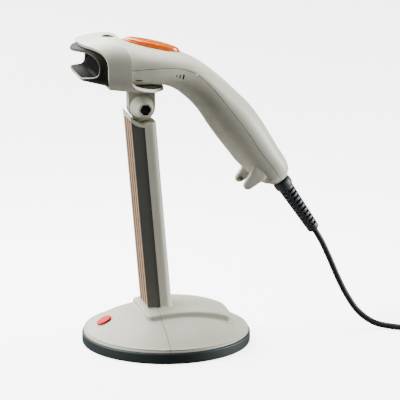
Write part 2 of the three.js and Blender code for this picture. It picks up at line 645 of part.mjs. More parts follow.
// ---------------------------------------------------------------- assembly: cord
const BOOT_PROFILE = [[0, -7], [4.2, -7], [4.2, 0.5], [7, 0.5], [7, 6], [6.1, 7],
  [4.9, BOOT_LENGTH - 1], [4.4, BOOT_LENGTH], [0, BOOT_LENGTH]];
piece('strain_relief', turnedAlong(BOOT_PROFILE, BOOT_START, BOOT_DIR), 0x17191b, 0.7);
piece('cord_run', tube(RUN_POINTS, CORD_RADIUS, 26), 0x141416, 0.6);

const coilHalf = COIL_COLUMNS * CORD_PITCH / 2;
const coilLow = TIE_THICKNESS + 0.35;
const coilHigh = coilLow + COIL_LAYERS * CORD_PITCH;
const [coilIn, coilOut] = [COIL_MID_RADIUS - coilHalf, COIL_MID_RADIUS + coilHalf];
piece('cord_coil', turned([[coilIn, coilLow], [coilOut, coilLow], [coilOut, coilHigh],
  [coilIn, coilHigh]], 32).translate([0, COIL_Y, 0]), 0x141416, 0.6);
const tieHole = block([-coilOut - GAP, COIL_Y - 9, coilLow - GAP],
  [GAP + 0.7 - coilIn, COIL_Y + 9, coilHigh + GAP]);
piece('cord_tie', block([-coilOut - GAP - TIE_THICKNESS, COIL_Y - 5, 0.05],
  [GAP + 0.7 - coilIn + TIE_THICKNESS, COIL_Y + 5, coilHigh + GAP + TIE_THICKNESS])
  .subtract(tieHole), 0x202226, 0.9);
piece('cord_tail', tube(TAIL_POINTS, CORD_RADIUS, 10), 0x141416, 0.6);
piece('plug_grip', plugBox(0.3, 28, 7.8, 0, 8), 0x18191c, 0.6);
piece('plug_shell', plugBox(28.3, 44, 6, 1.75, 6.25)
  .subtract(plugBox(30, 45, 5.6, 3.9, 5.85)), 0xb8babd, 0.3, 1);

export default group;
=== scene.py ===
"""Looks for a corded hand scanner that rests in the tilting cradle of a weighted stand.

Lengths are written in millimetres, as the part's source has them, and turned into metres when a mesh is made.
The frame: origin at the centre of the round base on the table, +Z up, nose to -Y, tail and cord to +Y.
"""

import math

import bmesh
import bpy
import numpy as np
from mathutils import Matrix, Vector
from mathutils.bvhtree import BVHTree


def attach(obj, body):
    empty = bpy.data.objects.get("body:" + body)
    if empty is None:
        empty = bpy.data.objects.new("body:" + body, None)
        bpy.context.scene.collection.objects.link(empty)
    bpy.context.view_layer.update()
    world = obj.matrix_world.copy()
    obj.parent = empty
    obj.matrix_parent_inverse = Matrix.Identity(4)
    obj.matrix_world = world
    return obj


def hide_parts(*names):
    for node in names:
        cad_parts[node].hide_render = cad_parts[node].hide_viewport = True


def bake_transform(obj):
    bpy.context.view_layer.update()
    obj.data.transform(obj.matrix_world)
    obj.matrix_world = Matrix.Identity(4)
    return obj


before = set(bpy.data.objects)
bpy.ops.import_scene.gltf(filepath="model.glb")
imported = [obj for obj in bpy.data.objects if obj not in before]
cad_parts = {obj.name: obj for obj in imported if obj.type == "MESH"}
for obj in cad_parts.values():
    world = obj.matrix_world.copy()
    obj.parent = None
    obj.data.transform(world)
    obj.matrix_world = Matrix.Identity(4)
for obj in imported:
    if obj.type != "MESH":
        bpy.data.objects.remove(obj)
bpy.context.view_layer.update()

MM = 0.001
TAU = 2 * math.pi


# ---------------------------------------------------------------- camera

CAMERA_SIDE = (0.945, -0.2235, 0.2389)     # from the aim towards the camera
CAMERA_DISTANCE = 1950
CAMERA_AIM = (-22.2, 32.2, 104.2)
CAMERA_LENS = 226.3


def add_camera():
    data = bpy.data.cameras.new("camera")
    data.lens = CAMERA_LENS
    data.clip_end = 20
    camera = bpy.data.objects.new("camera", data)
    back = Vector(CAMERA_SIDE).normalized()
    camera.location = (Vector(CAMERA_AIM) + back * CAMERA_DISTANCE) * MM
    camera.rotation_mode = "QUATERNION"
    camera.rotation_quaternion = (-back).to_track_quat("-Z", "Y")
    bpy.context.collection.objects.link(camera)
    bpy.context.scene.camera = camera


add_camera()


# ---------------------------------------------------------------- curves

def spline(points, at):
    """Centripetal Catmull-Rom curve through the points, for at from 0 to 1 in equal shares per span."""
    points = np.asarray(points, float)
    padded = np.vstack([2 * points[0] - points[1], points, 2 * points[-1] - points[-2]])
    place = np.clip(np.asarray(at, float) * (len(points) - 1), 0, len(points) - 1 - 1e-9)
    k = place.astype(int)
    w = (place - k)[..., None]
    p0, p1, p2, p3 = (padded[k + i] for i in range(4))
    d0, d1, d2 = (
        np.maximum(np.sum((b - a) ** 2, -1) ** 0.25, 1e-4)[..., None]
        for a, b in ((p0, p1), (p1, p2), (p2, p3))
    )
    m1 = ((p1 - p0) / d0 - (p2 - p0) / (d0 + d1) + (p2 - p1) / d1) * d1
    m2 = ((p2 - p1) / d1 - (p3 - p1) / (d1 + d2) + (p3 - p2) / d2) * d1
    cubic = (2 * p1 - 2 * p2 + m1 + m2) * w**3
    return p1 + m1 * w + (-3 * p1 + 3 * p2 - 2 * m1 - m2) * w**2 + cubic


def smooth_table(points):
    """The smooth curve through [[x, value], ...], as a function of x."""
    line = spline(points, np.linspace(0, 1, 600))
    line = line[np.argsort(line[:, 0])]
    return lambda x: np.interp(x, line[:, 0], line[:, 1])


def lerp(a, b, t):
    return a + (b - a) * t


def smoothstep(a, b, x):
    t = np.clip((x - a) / (b - a), 0, 1)
    return t * t * (3 - 2 * t)


def line_length(line):
    return float(np.linalg.norm(np.diff(line, axis=0), axis=1).sum())


def respaced(line, count):
    """The polyline cut into equal steps."""
    line = np.asarray(line, float)
    far = np.concatenate([[0], np.cumsum(np.linalg.norm(np.diff(line, axis=0), axis=1))])
    at = np.linspace(0, far[-1], count)
    return np.stack([np.interp(at, far, line[:, i]) for i in range(line.shape[1])], 1)


def full_turn(count):
    """Equal angles round a circle, without the last one that would meet the first."""
    return np.linspace(0, TAU, count, endpoint=False)


def arc(centre, radius, start, end, count):
    """Points on a circle in a plane, from one angle to another in degrees."""
    angle = np.radians(np.linspace(start, end, count))
    return np.stack([centre[0] + radius * np.cos(angle), centre[1] + radius * np.sin(angle)], 1)


def outward(path):
    """Unit directions across a flat path, on the right of its way."""
    way = np.gradient(path, axis=0)
    return np.stack([way[:, 1], -way[:, 0]], 1) / np.linalg.norm(way, axis=1)[:, None]


def super_point(angle, half_width, up, down, power):
    """The x and z of a superellipse, whose upper and lower half can differ in height."""
    s, c = np.sin(angle), np.cos(angle)
    x = half_width * np.sign(s) * np.abs(s) ** (2 / power)
    z = np.where(c > 0, up, down) * np.sign(c) * np.abs(c) ** (2 / power)
    return x, z


# ---------------------------------------------------------------- meshes

def add_mesh(name, points, faces):
    """A mesh object from points in mm, with its faces turned outwards."""
    mesh = bpy.data.meshes.new(name)
    mesh.from_pydata((np.asarray(points, float) * MM).tolist(), [], [list(map(int, f)) for f in faces])
    made = bmesh.new()
    made.from_mesh(mesh)
    bmesh.ops.remove_doubles(made, verts=made.verts, dist=1e-7)
    bmesh.ops.dissolve_degenerate(made, dist=1e-8, edges=made.edges)
    bmesh.ops.recalc_face_normals(made, faces=made.faces)
    made.to_mesh(mesh)
    made.free()
    mesh.update()
    obj = bpy.data.objects.new(name, mesh)
    bpy.context.collection.objects.link(obj)
    return obj


def facing_out(obj, centre_of):
    """Turns an open sheet so that its faces look away from centre_of(face centre), in mm."""
    mesh = obj.data
    turned = 0.0
    for face in mesh.polygons:
        centre = np.array(face.center) / MM
        turned += np.dot(centre - centre_of(centre), np.array(face.normal)) * face.area
    if turned < 0:
        mesh.flip_normals()


def grid_faces(rows, columns, wrap=False, start=0):
    faces = []
    for r in range(rows - 1):
        for c in range(columns if wrap else columns - 1):
            d = (c + 1) % columns
            a, b = start + r * columns, start + (r + 1) * columns
            faces.append((a + c, a + d, b + d, b + c))
    return faces


def sheet_mesh(name, grid, wrap=False, ends=()):
    """A grid of points [row, column, xyz] as a mesh; ends lists the rows (0 or -1) that a face closes."""
    rows, columns = grid.shape[:2]
    faces = grid_faces(rows, columns, wrap)
    for end in ends:
        base = 0 if end == 0 else (rows - 1) * columns
        faces.append([base + c for c in range(columns)])
    return add_mesh(name, grid.reshape(-1, 3), faces)


def lofted(name, rows):
    """A closed body through rings of points, with a face on its first and last ring."""
    return sheet_mesh(name, np.array(rows), wrap=True, ends=(0, -1))


def apply_modifiers(obj):
    graph = bpy.context.evaluated_depsgraph_get()
    graph.update()
    mesh = bpy.data.meshes.new_from_object(obj.evaluated_get(graph))
    obj.modifiers.clear()
    obj.data = mesh
    return obj


def thicken(obj, wall):
    """Gives an open sheet its wall, inwards from the side that shows."""
    solid = obj.modifiers.new("wall", "SOLIDIFY")
    solid.thickness = wall * MM
    solid.offset = -1
    solid.use_even_offset = True
    return apply_modifiers(obj)


def round_edges(obj, width, segments=3, degrees=50):
    bevel = obj.modifiers.new("edges", "BEVEL")
    bevel.width = width * MM
    bevel.segments = segments
    bevel.limit_method = "ANGLE"
    bevel.angle_limit = math.radians(degrees)
    bevel.use_clamp_overlap = True
    bevel.miter_outer = "MITER_ARC"
    return apply_modifiers(obj)


def combined(obj, operation, others):
    """Cuts the other shapes from obj or joins them to it, and removes them."""
    for other in others:
        boolean = obj.modifiers.new("boolean", "BOOLEAN")
        boolean.operation = operation
        boolean.solver = "EXACT"
        boolean.object = other
        apply_modifiers(obj)
        bpy.data.objects.remove(other)
    return obj


def cut(obj, *cutters):
    return combined(obj, "DIFFERENCE", cutters)


def fuse(obj, *others):
    return combined(obj, "UNION", others)


def smooth(obj, degrees=38, weighted=True):
    obj.data.shade_smooth()
    obj.data.set_sharp_from_angle(angle=math.radians(degrees))
    if weighted:
        normals = obj.modifiers.new("normals", "WEIGHTED_NORMAL")
        normals.keep_sharp = True
        normals.weight = 80
    return obj


def finish_piece(obj, body, slot, material, *nodes):
    """Gives a piece its material and body, and hides the CAD nodes that it stands for; the slot argument is
    not used.
    """
    obj.data.materials.clear()
    obj.data.materials.append(material)
    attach(obj, body)
    if nodes:
        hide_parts(*nodes)


def turned(name, profile, segments, closed=False):
    """A profile of [radius, height] turned about +Z; a closed profile joins its ends."""
    profile = np.asarray(profile, float)
    angle = full_turn(segments)
    grid = np.stack([
        profile[:, None, 0] * np.cos(angle)[None],
        profile[:, None, 0] * np.sin(angle)[None],
        np.repeat(profile[:, None, 1], segments, 1),
    ], -1)
    faces = grid_faces(len(profile), segments, True)
    if closed:
        last = (len(profile) - 1) * segments
        for c in range(segments):
            d = (c + 1) % segments
            faces.append((last + c, last + d, d, c))
    return add_mesh(name, grid.reshape(-1, 3), faces)


def side_prism(name, outline, x0, x1):
    """An outline of [y, z] points carried from x0 to x1."""
    outline = np.asarray(outline, float)
    count = len(outline)
    low = np.column_stack([np.full(count, x0), outline])
    high = np.column_stack([np.full(count, x1), outline])
    faces = [(i, (i + 1) % count, count + (i + 1) % count, count + i) for i in range(count)]
    faces += [list(range(count)), list(range(count, 2 * count))]
    return add_mesh(name, np.vstack([low, high]), faces)


def slab(name, upper, lower):
    """A closed body between two grids of the same shape."""
    rows, columns = upper.shape[:2]
    count = rows * columns
    faces = grid_faces(rows, columns) + grid_faces(rows, columns, start=count)
    ring = [(0, c) for c in range(columns)] + [(r, columns - 1) for r in range(1, rows)]
    ring += [(rows - 1, c) for c in range(columns - 2, -1, -1)] + [(r, 0) for r in range(rows - 2, 0, -1)]
    index = [r * columns + c for r, c in ring]
    for a, b in zip(index, index[1:] + index[:1]):
        faces.append((a, b, count + b, count + a))
    return add_mesh(name, np.vstack([upper.reshape(-1, 3), lower.reshape(-1, 3)]), faces)


def box_mesh(name, low, high):
    (x0, y0, z0), (x1, y1, z1) = low, high
    return side_prism(name, [[y0, z0], [y1, z0], [y1, z1], [y0, z1]], x0, x1)


def placed(obj, start, direction):
    """Turns a mesh made about +Z at the origin to run along direction from start, in mm."""
    turn = Vector(direction).to_track_quat("Z", "X").to_matrix().to_4x4()
    turn.translation = Vector(start) * MM
    obj.data.transform(turn)
    return obj


def open_hole(grid, place, normal, along, half_long, half_wide, spread, share=0.5):
    """Opens an oval hole in a grid of points, by easing the grid round it onto the hole's edge.

    place is the hole's middle on the surface, and along is its long axis. The easing reaches spread times
    as far as the hole's edge. Returns the new grid and the faces left out.
    """
    normal = np.asarray(normal, float)
    along = np.asarray(along, float)
    across = np.cross(normal, along)
    flat = grid - np.asarray(place, float)
    p, q = flat @ along, flat @ across
    front = (np.abs(flat @ normal) < 8) & (np.abs(p) < spread * half_long)
    front &= np.abs(q) < spread * half_wide
    rows, columns = np.where(front)
    i0, i1, j0, j1 = rows.min(), rows.max(), columns.min(), columns.max()
    i1 -= (i1 - i0) % 4
    j1 -= (j1 - j0) % 4
    tree = BVHTree.FromPolygons([Vector(point) for point in grid.reshape(-1, 3)], grid_faces(*grid.shape[:2]))
    made = grid.copy()
    gone = set()
    ic, jc = (i0 + i1) / 2, (j0 + j1) / 2
    for i in range(i0, i1 + 1):
        for j in range(j0, j1 + 1):
            s, t = (i - ic) / (ic - i0), (j - jc) / (jc - j0)
            reach = max(abs(s), abs(t))
            if reach < 1e-6:
                continue
            length = math.hypot(p[i, j] / half_long, q[i, j] / half_wide)
            grow = 1 + max(0.0, reach - share) * 0.9
            oval = np.array([p[i, j], q[i, j]]) / max(length, 1e-9) * grow
            ease = float(smoothstep(share, 1, reach)) if reach > share else 0.0
            flat_place = lerp(oval, np.array([p[i, j], q[i, j]]), ease)
            if reach < share - 1e-6:
                flat_place = oval * reach / share
            start = np.asarray(place) + along * flat_place[0] + across * flat_place[1] + normal * 20
            hit = tree.ray_cast(Vector(start), Vector(-normal))
            if hit[0] is not None:
                made[i, j] = hit[0]
    for i in range(i0, i1):
        for j in range(j0, j1):
            s, t = (i + 0.5 - ic) / (ic - i0), (j + 0.5 - jc) / (jc - j0)
            if max(abs(s), abs(t)) < share:
                gone.add((i, j))
    return made, gone


def pierced_sheet(name, grid, gone):
    """A grid of points as an open sheet, without the faces that are gone."""
    columns = grid.shape[1]
    faces = [face for face in grid_faces(*grid.shape[:2]) if divmod(face[0], columns) not in gone]
    obj = add_mesh(name, grid.reshape(-1, 3), faces)
    made = bmesh.new()
    made.from_mesh(obj.data)
    bmesh.ops.delete(made, geom=[v for v in made.verts if not v.link_faces], context="VERTS")
    made.to_mesh(obj.data)
    made.free()
    return obj


# ---------------------------------------------------------------- materials

def linear(*srgb):
    """A colour given as 0 to 255 per channel, as the shader takes it."""
    return tuple(((c / 255 + 0.055) / 1.055) ** 2.4 if c > 10 else c / 255 / 12.92 for c in srgb)


class Shader:
    """A material's nodes, with its Principled shader and its place on the object in metres."""

    def __init__(self, name):
        self.material = bpy.data.materials.new(name)
        self.material.use_nodes = True
        self.nodes = self.material.node_tree.nodes
        self.links = self.material.node_tree.links
        self.main = self.nodes["Principled BSDF"]
        self.place = self.nodes.new("ShaderNodeTexCoord").outputs["Object"]

    def set(self, **values):
        for socket, value in values.items():
            target = self.main.inputs[socket.replace("_", " ")]
            target.default_value = (*value, 1) if isinstance(value, tuple) else value
        return self

    def noise(self, size, detail, distortion=0.0):
        """Noise with features of that size in mm."""
        node = self.nodes.new("ShaderNodeTexNoise")
        node.inputs["Scale"].default_value = 1 / (size * MM)
        node.inputs["Detail"].default_value = detail
        node.inputs["Distortion"].default_value = distortion
        self.links.new(self.place, node.inputs["Vector"])
        return node.outputs["Fac"]

    def ranged(self, value, low, high, out_low, out_high):
        node = self.nodes.new("ShaderNodeMapRange")
        numbers = (low, high, out_low, out_high)
        for socket, number in zip(("From Min", "From Max", "To Min", "To Max"), numbers):
            node.inputs[socket].default_value = number
        self.links.new(value, node.inputs["Value"])
        return node.outputs["Result"]

    def mixed(self, share, first, second):
        """Colour first, turning to second as share goes from 0 to 1."""
        node = self.nodes.new("ShaderNodeMix")
        node.data_type = "RGBA"
        self.links.new(share, node.inputs["Factor"])
        for socket, colour in ((node.inputs[6], first), (node.inputs[7], second)):
            if isinstance(colour, tuple):
                socket.default_value = (*colour, 1)
            else:
                self.links.new(colour, socket)
        return node.outputs[2]

    def bump(self, height, depth):
        """Lowers and raises the surface by height times depth in mm."""
        node = self.nodes.new("ShaderNodeBump")
        node.inputs["Distance"].default_value = depth * MM
        node.inputs["Strength"].default_value = 1
        self.links.new(height, node.inputs["Height"])
        current = self.main.inputs["Normal"]
        if current.links:
            self.links.new(current.links[0].from_socket, node.inputs["Normal"])
        self.links.new(node.outputs["Normal"], current)
        return self

    def drive(self, socket, value):
        self.links.new(value, self.main.inputs[socket])
        return self

    def clouded(self, size, detail, first, second):
        """Base colour that drifts between two colours, in clouds of that size in mm."""
        share = self.ranged(self.noise(size, detail), 0.3, 0.7, 0, 1)
        return self.drive("Base Color", self.mixed(share, first, second))

    def rough(self, size, detail, low, high):
        """Roughness that drifts between two values, in patches of that size in mm."""
        return self.drive("Roughness", self.ranged(self.noise(size, detail), 0.3, 0.7, low, high))


def scaled(colour, by):
    return tuple(min(1.0, c * by) for c in colour)


def moulded(name, colour, roughness, grain=0.45, depth=0.012, mottle=0.035, worn=0.0, **more):
    """Moulded plastic or rubber: spark-eroded grain, cloudy colour, handled patches and paler worn edges."""
    made = Shader(name).set(**more)
    cloud = made.ranged(made.noise(22, 3), 0.3, 0.7, 0, 1)
    skin = made.mixed(cloud, scaled(colour, 1 - mottle), scaled(colour, 1 + mottle))
    if worn:
        edge = made.nodes.new("ShaderNodeNewGeometry").outputs["Pointiness"]
        share = made.ranged(edge, 0.53, 0.62, 0, worn)
        skin = made.mixed(share, skin, scaled(colour, 1.5))
    made.drive("Base Color", skin).rough(6, 4, roughness - 0.05, roughness + 0.05)
    return made.bump(made.noise(grain, 2), depth).material


def metal(name, colour, roughness, streaks=0.25, depth=0.002):
    """Turned or drawn metal, with fine marks."""
    made = Shader(name).set(Metallic=1.0)
    marks = made.noise(streaks, 5, 0.6)
    share = made.ranged(marks, 0.35, 0.65, 0, 1)
    made.drive("Base Color", made.mixed(share, scaled(colour, 0.92), scaled(colour, 1.05)))
    made.rough(2, 3, roughness - 0.06, roughness + 0.08)
    return made.bump(marks, depth).material


pale = moulded("pale_plastic", linear(204, 203, 185), 0.42, worn=0.12)
# A darker copy of the pale plastic for the base's covers: painted shade, standing in for the light that the
# head above keeps off the base.
base_pale_painted_shade = moulded("base_plastic_painted_shade", linear(186, 184, 167), 0.46, worn=0.12)
insert_dark = moulded("insert_plastic", linear(92, 93, 87), 0.38, grain=0.6, worn=0.2)
# Tan copy of the insert's plastic for the fins' fronts: a painted warm highlight where the light catches the
# fins.
fin_painted_highlight = moulded("insert_fins_painted_highlight", linear(178, 146, 118), 0.34, grain=0.5, mottle=0.12)
# Dark brown copy for the faces in the grooves between the fins: painted shade.
groove_painted_shade = moulded("insert_grooves_painted_shade", linear(48, 35, 29), 0.5, grain=0.5, mottle=0.1)
ring_rubber = moulded("ring_rubber", linear(20, 34, 34), 0.55, grain=0.7, depth=0.02, worn=0.1)
nose_dark = moulded("nose_plastic", linear(46, 48, 42), 0.55, grain=0.5, worn=0.05, Specular_IOR_Level=0.08)
# Paler grey for the bezel's rolled lip: a painted highlight along its edge.
nose_lip_painted_highlight = moulded("nose_rim_painted_highlight", linear(128, 128, 121), 0.3, grain=0.5)
boot_rubber = moulded("boot_rubber", linear(46, 50, 56), 0.55, grain=0.8, depth=0.02, worn=0.3)
cord_sheath = moulded("cord_pvc", linear(38, 38, 41), 0.52, grain=1.2, depth=0.01, Specular_IOR_Level=0.3)
plug_black = moulded("crown_plug", linear(20, 20, 20), 0.8, Specular_IOR_Level=0.08)
steel = metal("steel", linear(190, 192, 194), 0.28)
black_metal = metal("black_oxide", linear(52, 53, 57), 0.4)
plug_steel = metal("plug_steel", linear(206, 207, 210), 0.2)
plug_white = moulded("plug_insulator", linear(228, 226, 220), 0.4)


def window_material():
    made = Shader("window_dark").set(IOR=1.45, Specular_IOR_Level=0.08)
    made.clouded(14, 2, linear(9, 5, 7), linear(17, 8, 10)).rough(9, 3, 0.04, 0.09)
    return made.bump(made.noise(30, 1), 0.01).material


def lens_material():
    """Translucent tinted resin, red-orange inside, under a glossy skin."""
    made = Shader("lens_orange").set(IOR=1.49, Coat_Weight=0.5, Coat_Roughness=0.04,
                                     Transmission_Weight=0.25, Subsurface_Weight=0.3,
                                     Subsurface_Scale=0.004)
    made.main.inputs["Subsurface Radius"].default_value = (1.0, 0.35, 0.08)
    made.clouded(9, 2, linear(236, 98, 8), linear(242, 124, 14)).rough(5, 3, 0.1, 0.17)
    return made.bump(made.noise(3, 2), 0.01).material


window_black = window_material()
lens_orange = lens_material()


# ---------------------------------------------------------------- cord

CORD_RADIUS = 2.35
CORD_SIDES = 20
BOOT_START = np.array([0, 90.7, 122.3])
BOOT_DIR = np.array([0, 0.56, -0.83]) / np.hypot(0.56, 0.83)
BOOT_LENGTH = 48.8
RUN_POINTS = [[0, 118.2, 81.6], [0, 124.4, 71], [0, 131, 57], [0.5, 137.6, 41.5],
              [2, 145, 26.5], [4.5, 154, 13.5], [8.5, 165, 5.4], [14, 177.5, 2.7],
              [21, 190.5, 2.45], [29, 203, 2.45], [33.6, 213, 2.6], [34.7, 220, 2.8]]
TAIL_POINTS = [[33.2, 262.2, 12.4], [30, 269, 8.6], [24, 275.2, 4.9], [16, 280, 4], [8, 284.6, 4]]
COIL_Y = 240
COIL_MID_RADIUS = 27.5
CORD_PITCH = 4.8
COIL_FLOOR = 3.55                       # height of the lowest turns' middle
TURN_PLACES = [(3, 0), (2, 0), (1, 0), (0, 0), (0, 1), (1, 1), (2, 1), (3, 1), (3, 2), (2, 2), (1, 2)]
SHIFT_FROM = 0.8                        # share of a turn after which the cord moves to its next place
LAST_TURN = 0.72                        # share of the last turn before the cord leaves the coil
POINTS_PER_TURN = 48
CORD_IN_BOOT = 16                       # how far up inside the boot the cord starts


def coil_points():
    """The wound turns, each a circle that shifts to the next column or layer near its end."""
    points = []
    for turn, (column, layer) in enumerate(TURN_PLACES):
        after = TURN_PLACES[min(turn + 1, len(TURN_PLACES) - 1)]
        last = turn == len(TURN_PLACES) - 1
        for step in range(int(POINTS_PER_TURN * (LAST_TURN if last else 1))):
            share = step / POINTS_PER_TURN
            shift = float(smoothstep(SHIFT_FROM, 1, share))
            radius = COIL_MID_RADIUS + (lerp(column, after[0], shift) - 1.5) * CORD_PITCH
            height = COIL_FLOOR + lerp(layer, after[1], shift) * CORD_PITCH
            angle = share * TAU
            points.append([radius * math.cos(angle), COIL_Y + radius * math.sin(angle), height])
    return points


def hump_points():
    """From the last turn over its neighbours to the outside, as [degrees, radius, height] along the way."""
    way = [[272, 25.1, 14.6], [290, 25.6, 17.3], [308, 27.6, 18.2], [326, 31.4, 18.2],
           [344, 35.6, 17.9], [2, 38.9, 16.4], [20, 39.9, 14.2]]
    return [
        [r * math.cos(math.radians(a)), COIL_Y + r * math.sin(math.radians(a)), z] for a, r, z in way
    ]


def dense(points, step=1.6):
    """The smooth curve through the points, cut into steps of about that length."""
    points = np.asarray(points, float)
    line = spline(points, np.linspace(0, 1, 12 * len(points)))
    return respaced(line, max(4, int(line_length(line) / step)))


def tube(name, line, radius):
    """A round tube along the line, with closed ends."""
    line = np.asarray(line, float)
    way = np.gradient(line, axis=0)
    way /= np.linalg.norm(way, axis=1)[:, None]
    side = np.array([1.0, 0, 0])
    angle = full_turn(CORD_SIDES)
    rings = []
    for point, tangent in zip(line, way):
        side = side - tangent * (side @ tangent)
        side /= np.linalg.norm(side)
        up = np.cross(tangent, side)
        rings.append(point + radius * (np.cos(angle)[:, None] * side + np.sin(angle)[:, None] * up))
    return lofted(name, rings)


def add_cords():
    boot_end = BOOT_START + BOOT_DIR * BOOT_LENGTH
    inside_boot = boot_end - BOOT_DIR * CORD_IN_BOOT
    upper_line = dense([inside_boot, boot_end - BOOT_DIR * 6, *RUN_POINTS[:3]])
    coiled = dense([*coil_points(), *hump_points(), *TAIL_POINTS, [1, 288.6, 4]], 2.2)
    table = dense([*RUN_POINTS[2:], [34.7, 230, 3.1]])
    lower_line = np.vstack([table, coiled[1:]])
    upper = smooth(tube("cord_upper", upper_line, CORD_RADIUS), weighted=False)
    lower = smooth(tube("cord_lower", lower_line, CORD_RADIUS), weighted=False)
    for piece in (upper, lower):
        piece.data.materials.append(cord_sheath)
    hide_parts("cord_run")
    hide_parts("cord_run", "cord_coil", "cord_tail")
    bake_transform(upper)
    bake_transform(lower)
    return (upper, upper_line, boot_end), (lower, lower_line)


(cord_upper, upper_line, boot_end), (cord_lower, lower_line) = add_cords()


# ---------------------------------------------------------------- base

BASE_RADIUS = 65
RING_HEIGHT = 8.5
RING_INNER = 59.3
BASE_SEAM_Y = -10
SEAM_HALF_GAP = 0.2
SHELL_WALL = 2.2
DOME = [[63.6, 8.8], [63.2, 9.8], [60, 11.9], [56, 14.4], [52, 16.6], [46, 19.4],
        [38, 22.4], [28, 25.2], [16, 27.2], [0, 28]]
PLINTH_TOP = [[62, 14], [52, 21.5], [46, 24.3], [38, 27], [28, 29], [16, 30.4], [0, 31]]
PLINTH_FRONT_Y = -21
PLINTH_REAR_Y = 48
PLINTH_HALF_WIDTH = 28.5
PLINTH_REAR_HALF_WIDTH = 23
PLINTH_CORNER = 6
PLINTH_FOOT_FILLET = 1.1
PLINTH_TOP_ROUND = 1.4
RIM_FLANGE = (61.6, 63.1)               # radii of the flange under the dome's rim
TOP_REACH_FRONT = 7 / 11                # how much of its outline the opening in the plinth's top keeps
TOP_REACH_REAR = 11.5 / 58
INSERT_FOOT_Z = 30.9
COLUMN_HALF_WIDTH = 14.4

dome_height = smooth_table(DOME)
plinth_height = smooth_table(PLINTH_TOP)


def plinth_side():
    """The plinth's outline for +X, from the middle of its front to the middle of its rear."""
    c = PLINTH_CORNER
    slope = (PLINTH_HALF_WIDTH - PLINTH_REAR_HALF_WIDTH) / (PLINTH_REAR_Y - PLINTH_FRONT_Y - c)
    front = arc((PLINTH_HALF_WIDTH - c, PLINTH_FRONT_Y + c), c, -90, -3, 14)
    rear = arc((PLINTH_REAR_HALF_WIDTH - c + slope, PLINTH_REAR_Y - c), c, -3, 90, 14)
    return np.vstack([[[0, PLINTH_FRONT_Y]], front, rear, [[0, PLINTH_REAR_Y]]])


def plinth_part(front):
    """One half's outline and its outward directions, from the seam at +X round to the seam at -X."""
    side = respaced(plinth_side(), 2400)
    part = side[side[:, 1] <= BASE_SEAM_Y][::-1] if front else side[side[:, 1] >= BASE_SEAM_Y]
    part = respaced(part, 84 if front else 120)
    part[0, 1] = BASE_SEAM_Y
    whole = np.vstack([part, part[-2::-1] * [-1, 1]])
    out = outward(whole) * (-1 if front else 1)
    out[0], out[-1] = (1, 0), (-1, 0)
    return whole, out


def base_half(name, front):
    """The base's front or rear cover: rim, dome, plinth side and plinth top, row by row."""
    outline, out = plinth_part(front)
    count = len(outline)
    seam_y = BASE_SEAM_Y + (-SEAM_HALF_GAP if front else SEAM_HALF_GAP)
    shift = np.array([0, seam_y - BASE_SEAM_Y])
    rows = []

    def row(flat, height):
        flat = flat + shift
        radius = np.hypot(flat[:, 0], flat[:, 1])
        rows.append(np.column_stack([flat, height(radius) if callable(height) else height]))

    def circle(radius):
        start = math.asin(BASE_SEAM_Y / radius)
        angle = np.linspace(start, (-math.pi if front else math.pi) - start, count)
        return np.stack([radius * np.cos(angle), radius * np.sin(angle)], 1)

    rim = spline(DOME, np.linspace(0, 2 / (len(DOME) - 1), 16))
    for radius in RIM_FLANGE:
        row(circle(radius), np.full(count, DOME[0][1]))
    for radius, height in rim:
        row(circle(radius), np.full(count, height))
    foot = outline + out * PLINTH_FOOT_FILLET
    for t in np.linspace(0, 1, 46)[1:-1]:
        row(lerp(circle(DOME[2][0]), foot, t), dome_height)
    fillet, top = PLINTH_FOOT_FILLET, PLINTH_TOP_ROUND
    for a in np.radians(np.linspace(0, 90, 7)):
        flat = outline + out * fillet * (1 - math.sin(a))
        row(flat, lambda r, a=a: dome_height(r) + fillet * (1 - math.cos(a)))
    for a in np.radians(np.linspace(0, 90, 9)):
        flat = outline - out * top * (1 - math.cos(a))
        row(flat, lambda r, a=a: plinth_height(r) - top * (1 - math.sin(a)))
    inner = outline - out * top
    reach = TOP_REACH_FRONT if front else TOP_REACH_REAR
    under = np.stack([inner[:, 0] * 0.5, BASE_SEAM_Y + (inner[:, 1] - BASE_SEAM_Y) * reach], 1)
    for t in np.linspace(0, 1, 24)[1:]:
        row(lerp(inner, under, t), plinth_height)
    shell = sheet_mesh(name, np.array(rows))
    facing_out(shell, lambda centre: np.array([0, 0, -60]))
    return round_edges(thicken(shell, SHELL_WALL), 0.32)


base_front = base_half("base_front_cover", True)
pad = box_mesh("pad", (-13.6, -17.2, 26), (13.6, -7.8, INSERT_FOOT_Z))
base_front = smooth(fuse(base_front, round_edges(pad, 0.5)))
# The base's covers take the darker copy of the pale plastic: painted shade.
finish_piece(base_front, "stand", "pale_plastic", base_pale_painted_shade, "base_front_shell")
base_rear = smooth(base_half("base_rear_cover", False))
finish_piece(base_rear, "stand", "pale_plastic", base_pale_painted_shade, "stand_rear_shell")

FOOT_PROFILE = [[RING_INNER, 0.5], [RING_INNER + 0.5, 0], [63.6, 0], [64.5, 0.35], [64.9, 1],
                [BASE_RADIUS, 1.8], [BASE_RADIUS, 7.4], [64.85, 7.95], [64.5, 8.35], [63.9, RING_HEIGHT],
                [RING_INNER + 0.5, RING_HEIGHT], [RING_INNER, 8]]
foot = smooth(turned("foot_ring_moulding", FOOT_PROFILE, 192, closed=True), 50)
finish_piece(foot, "stand", "ring_rubber", ring_rubber, "foot_ring")


# ---------------------------------------------------------------- column

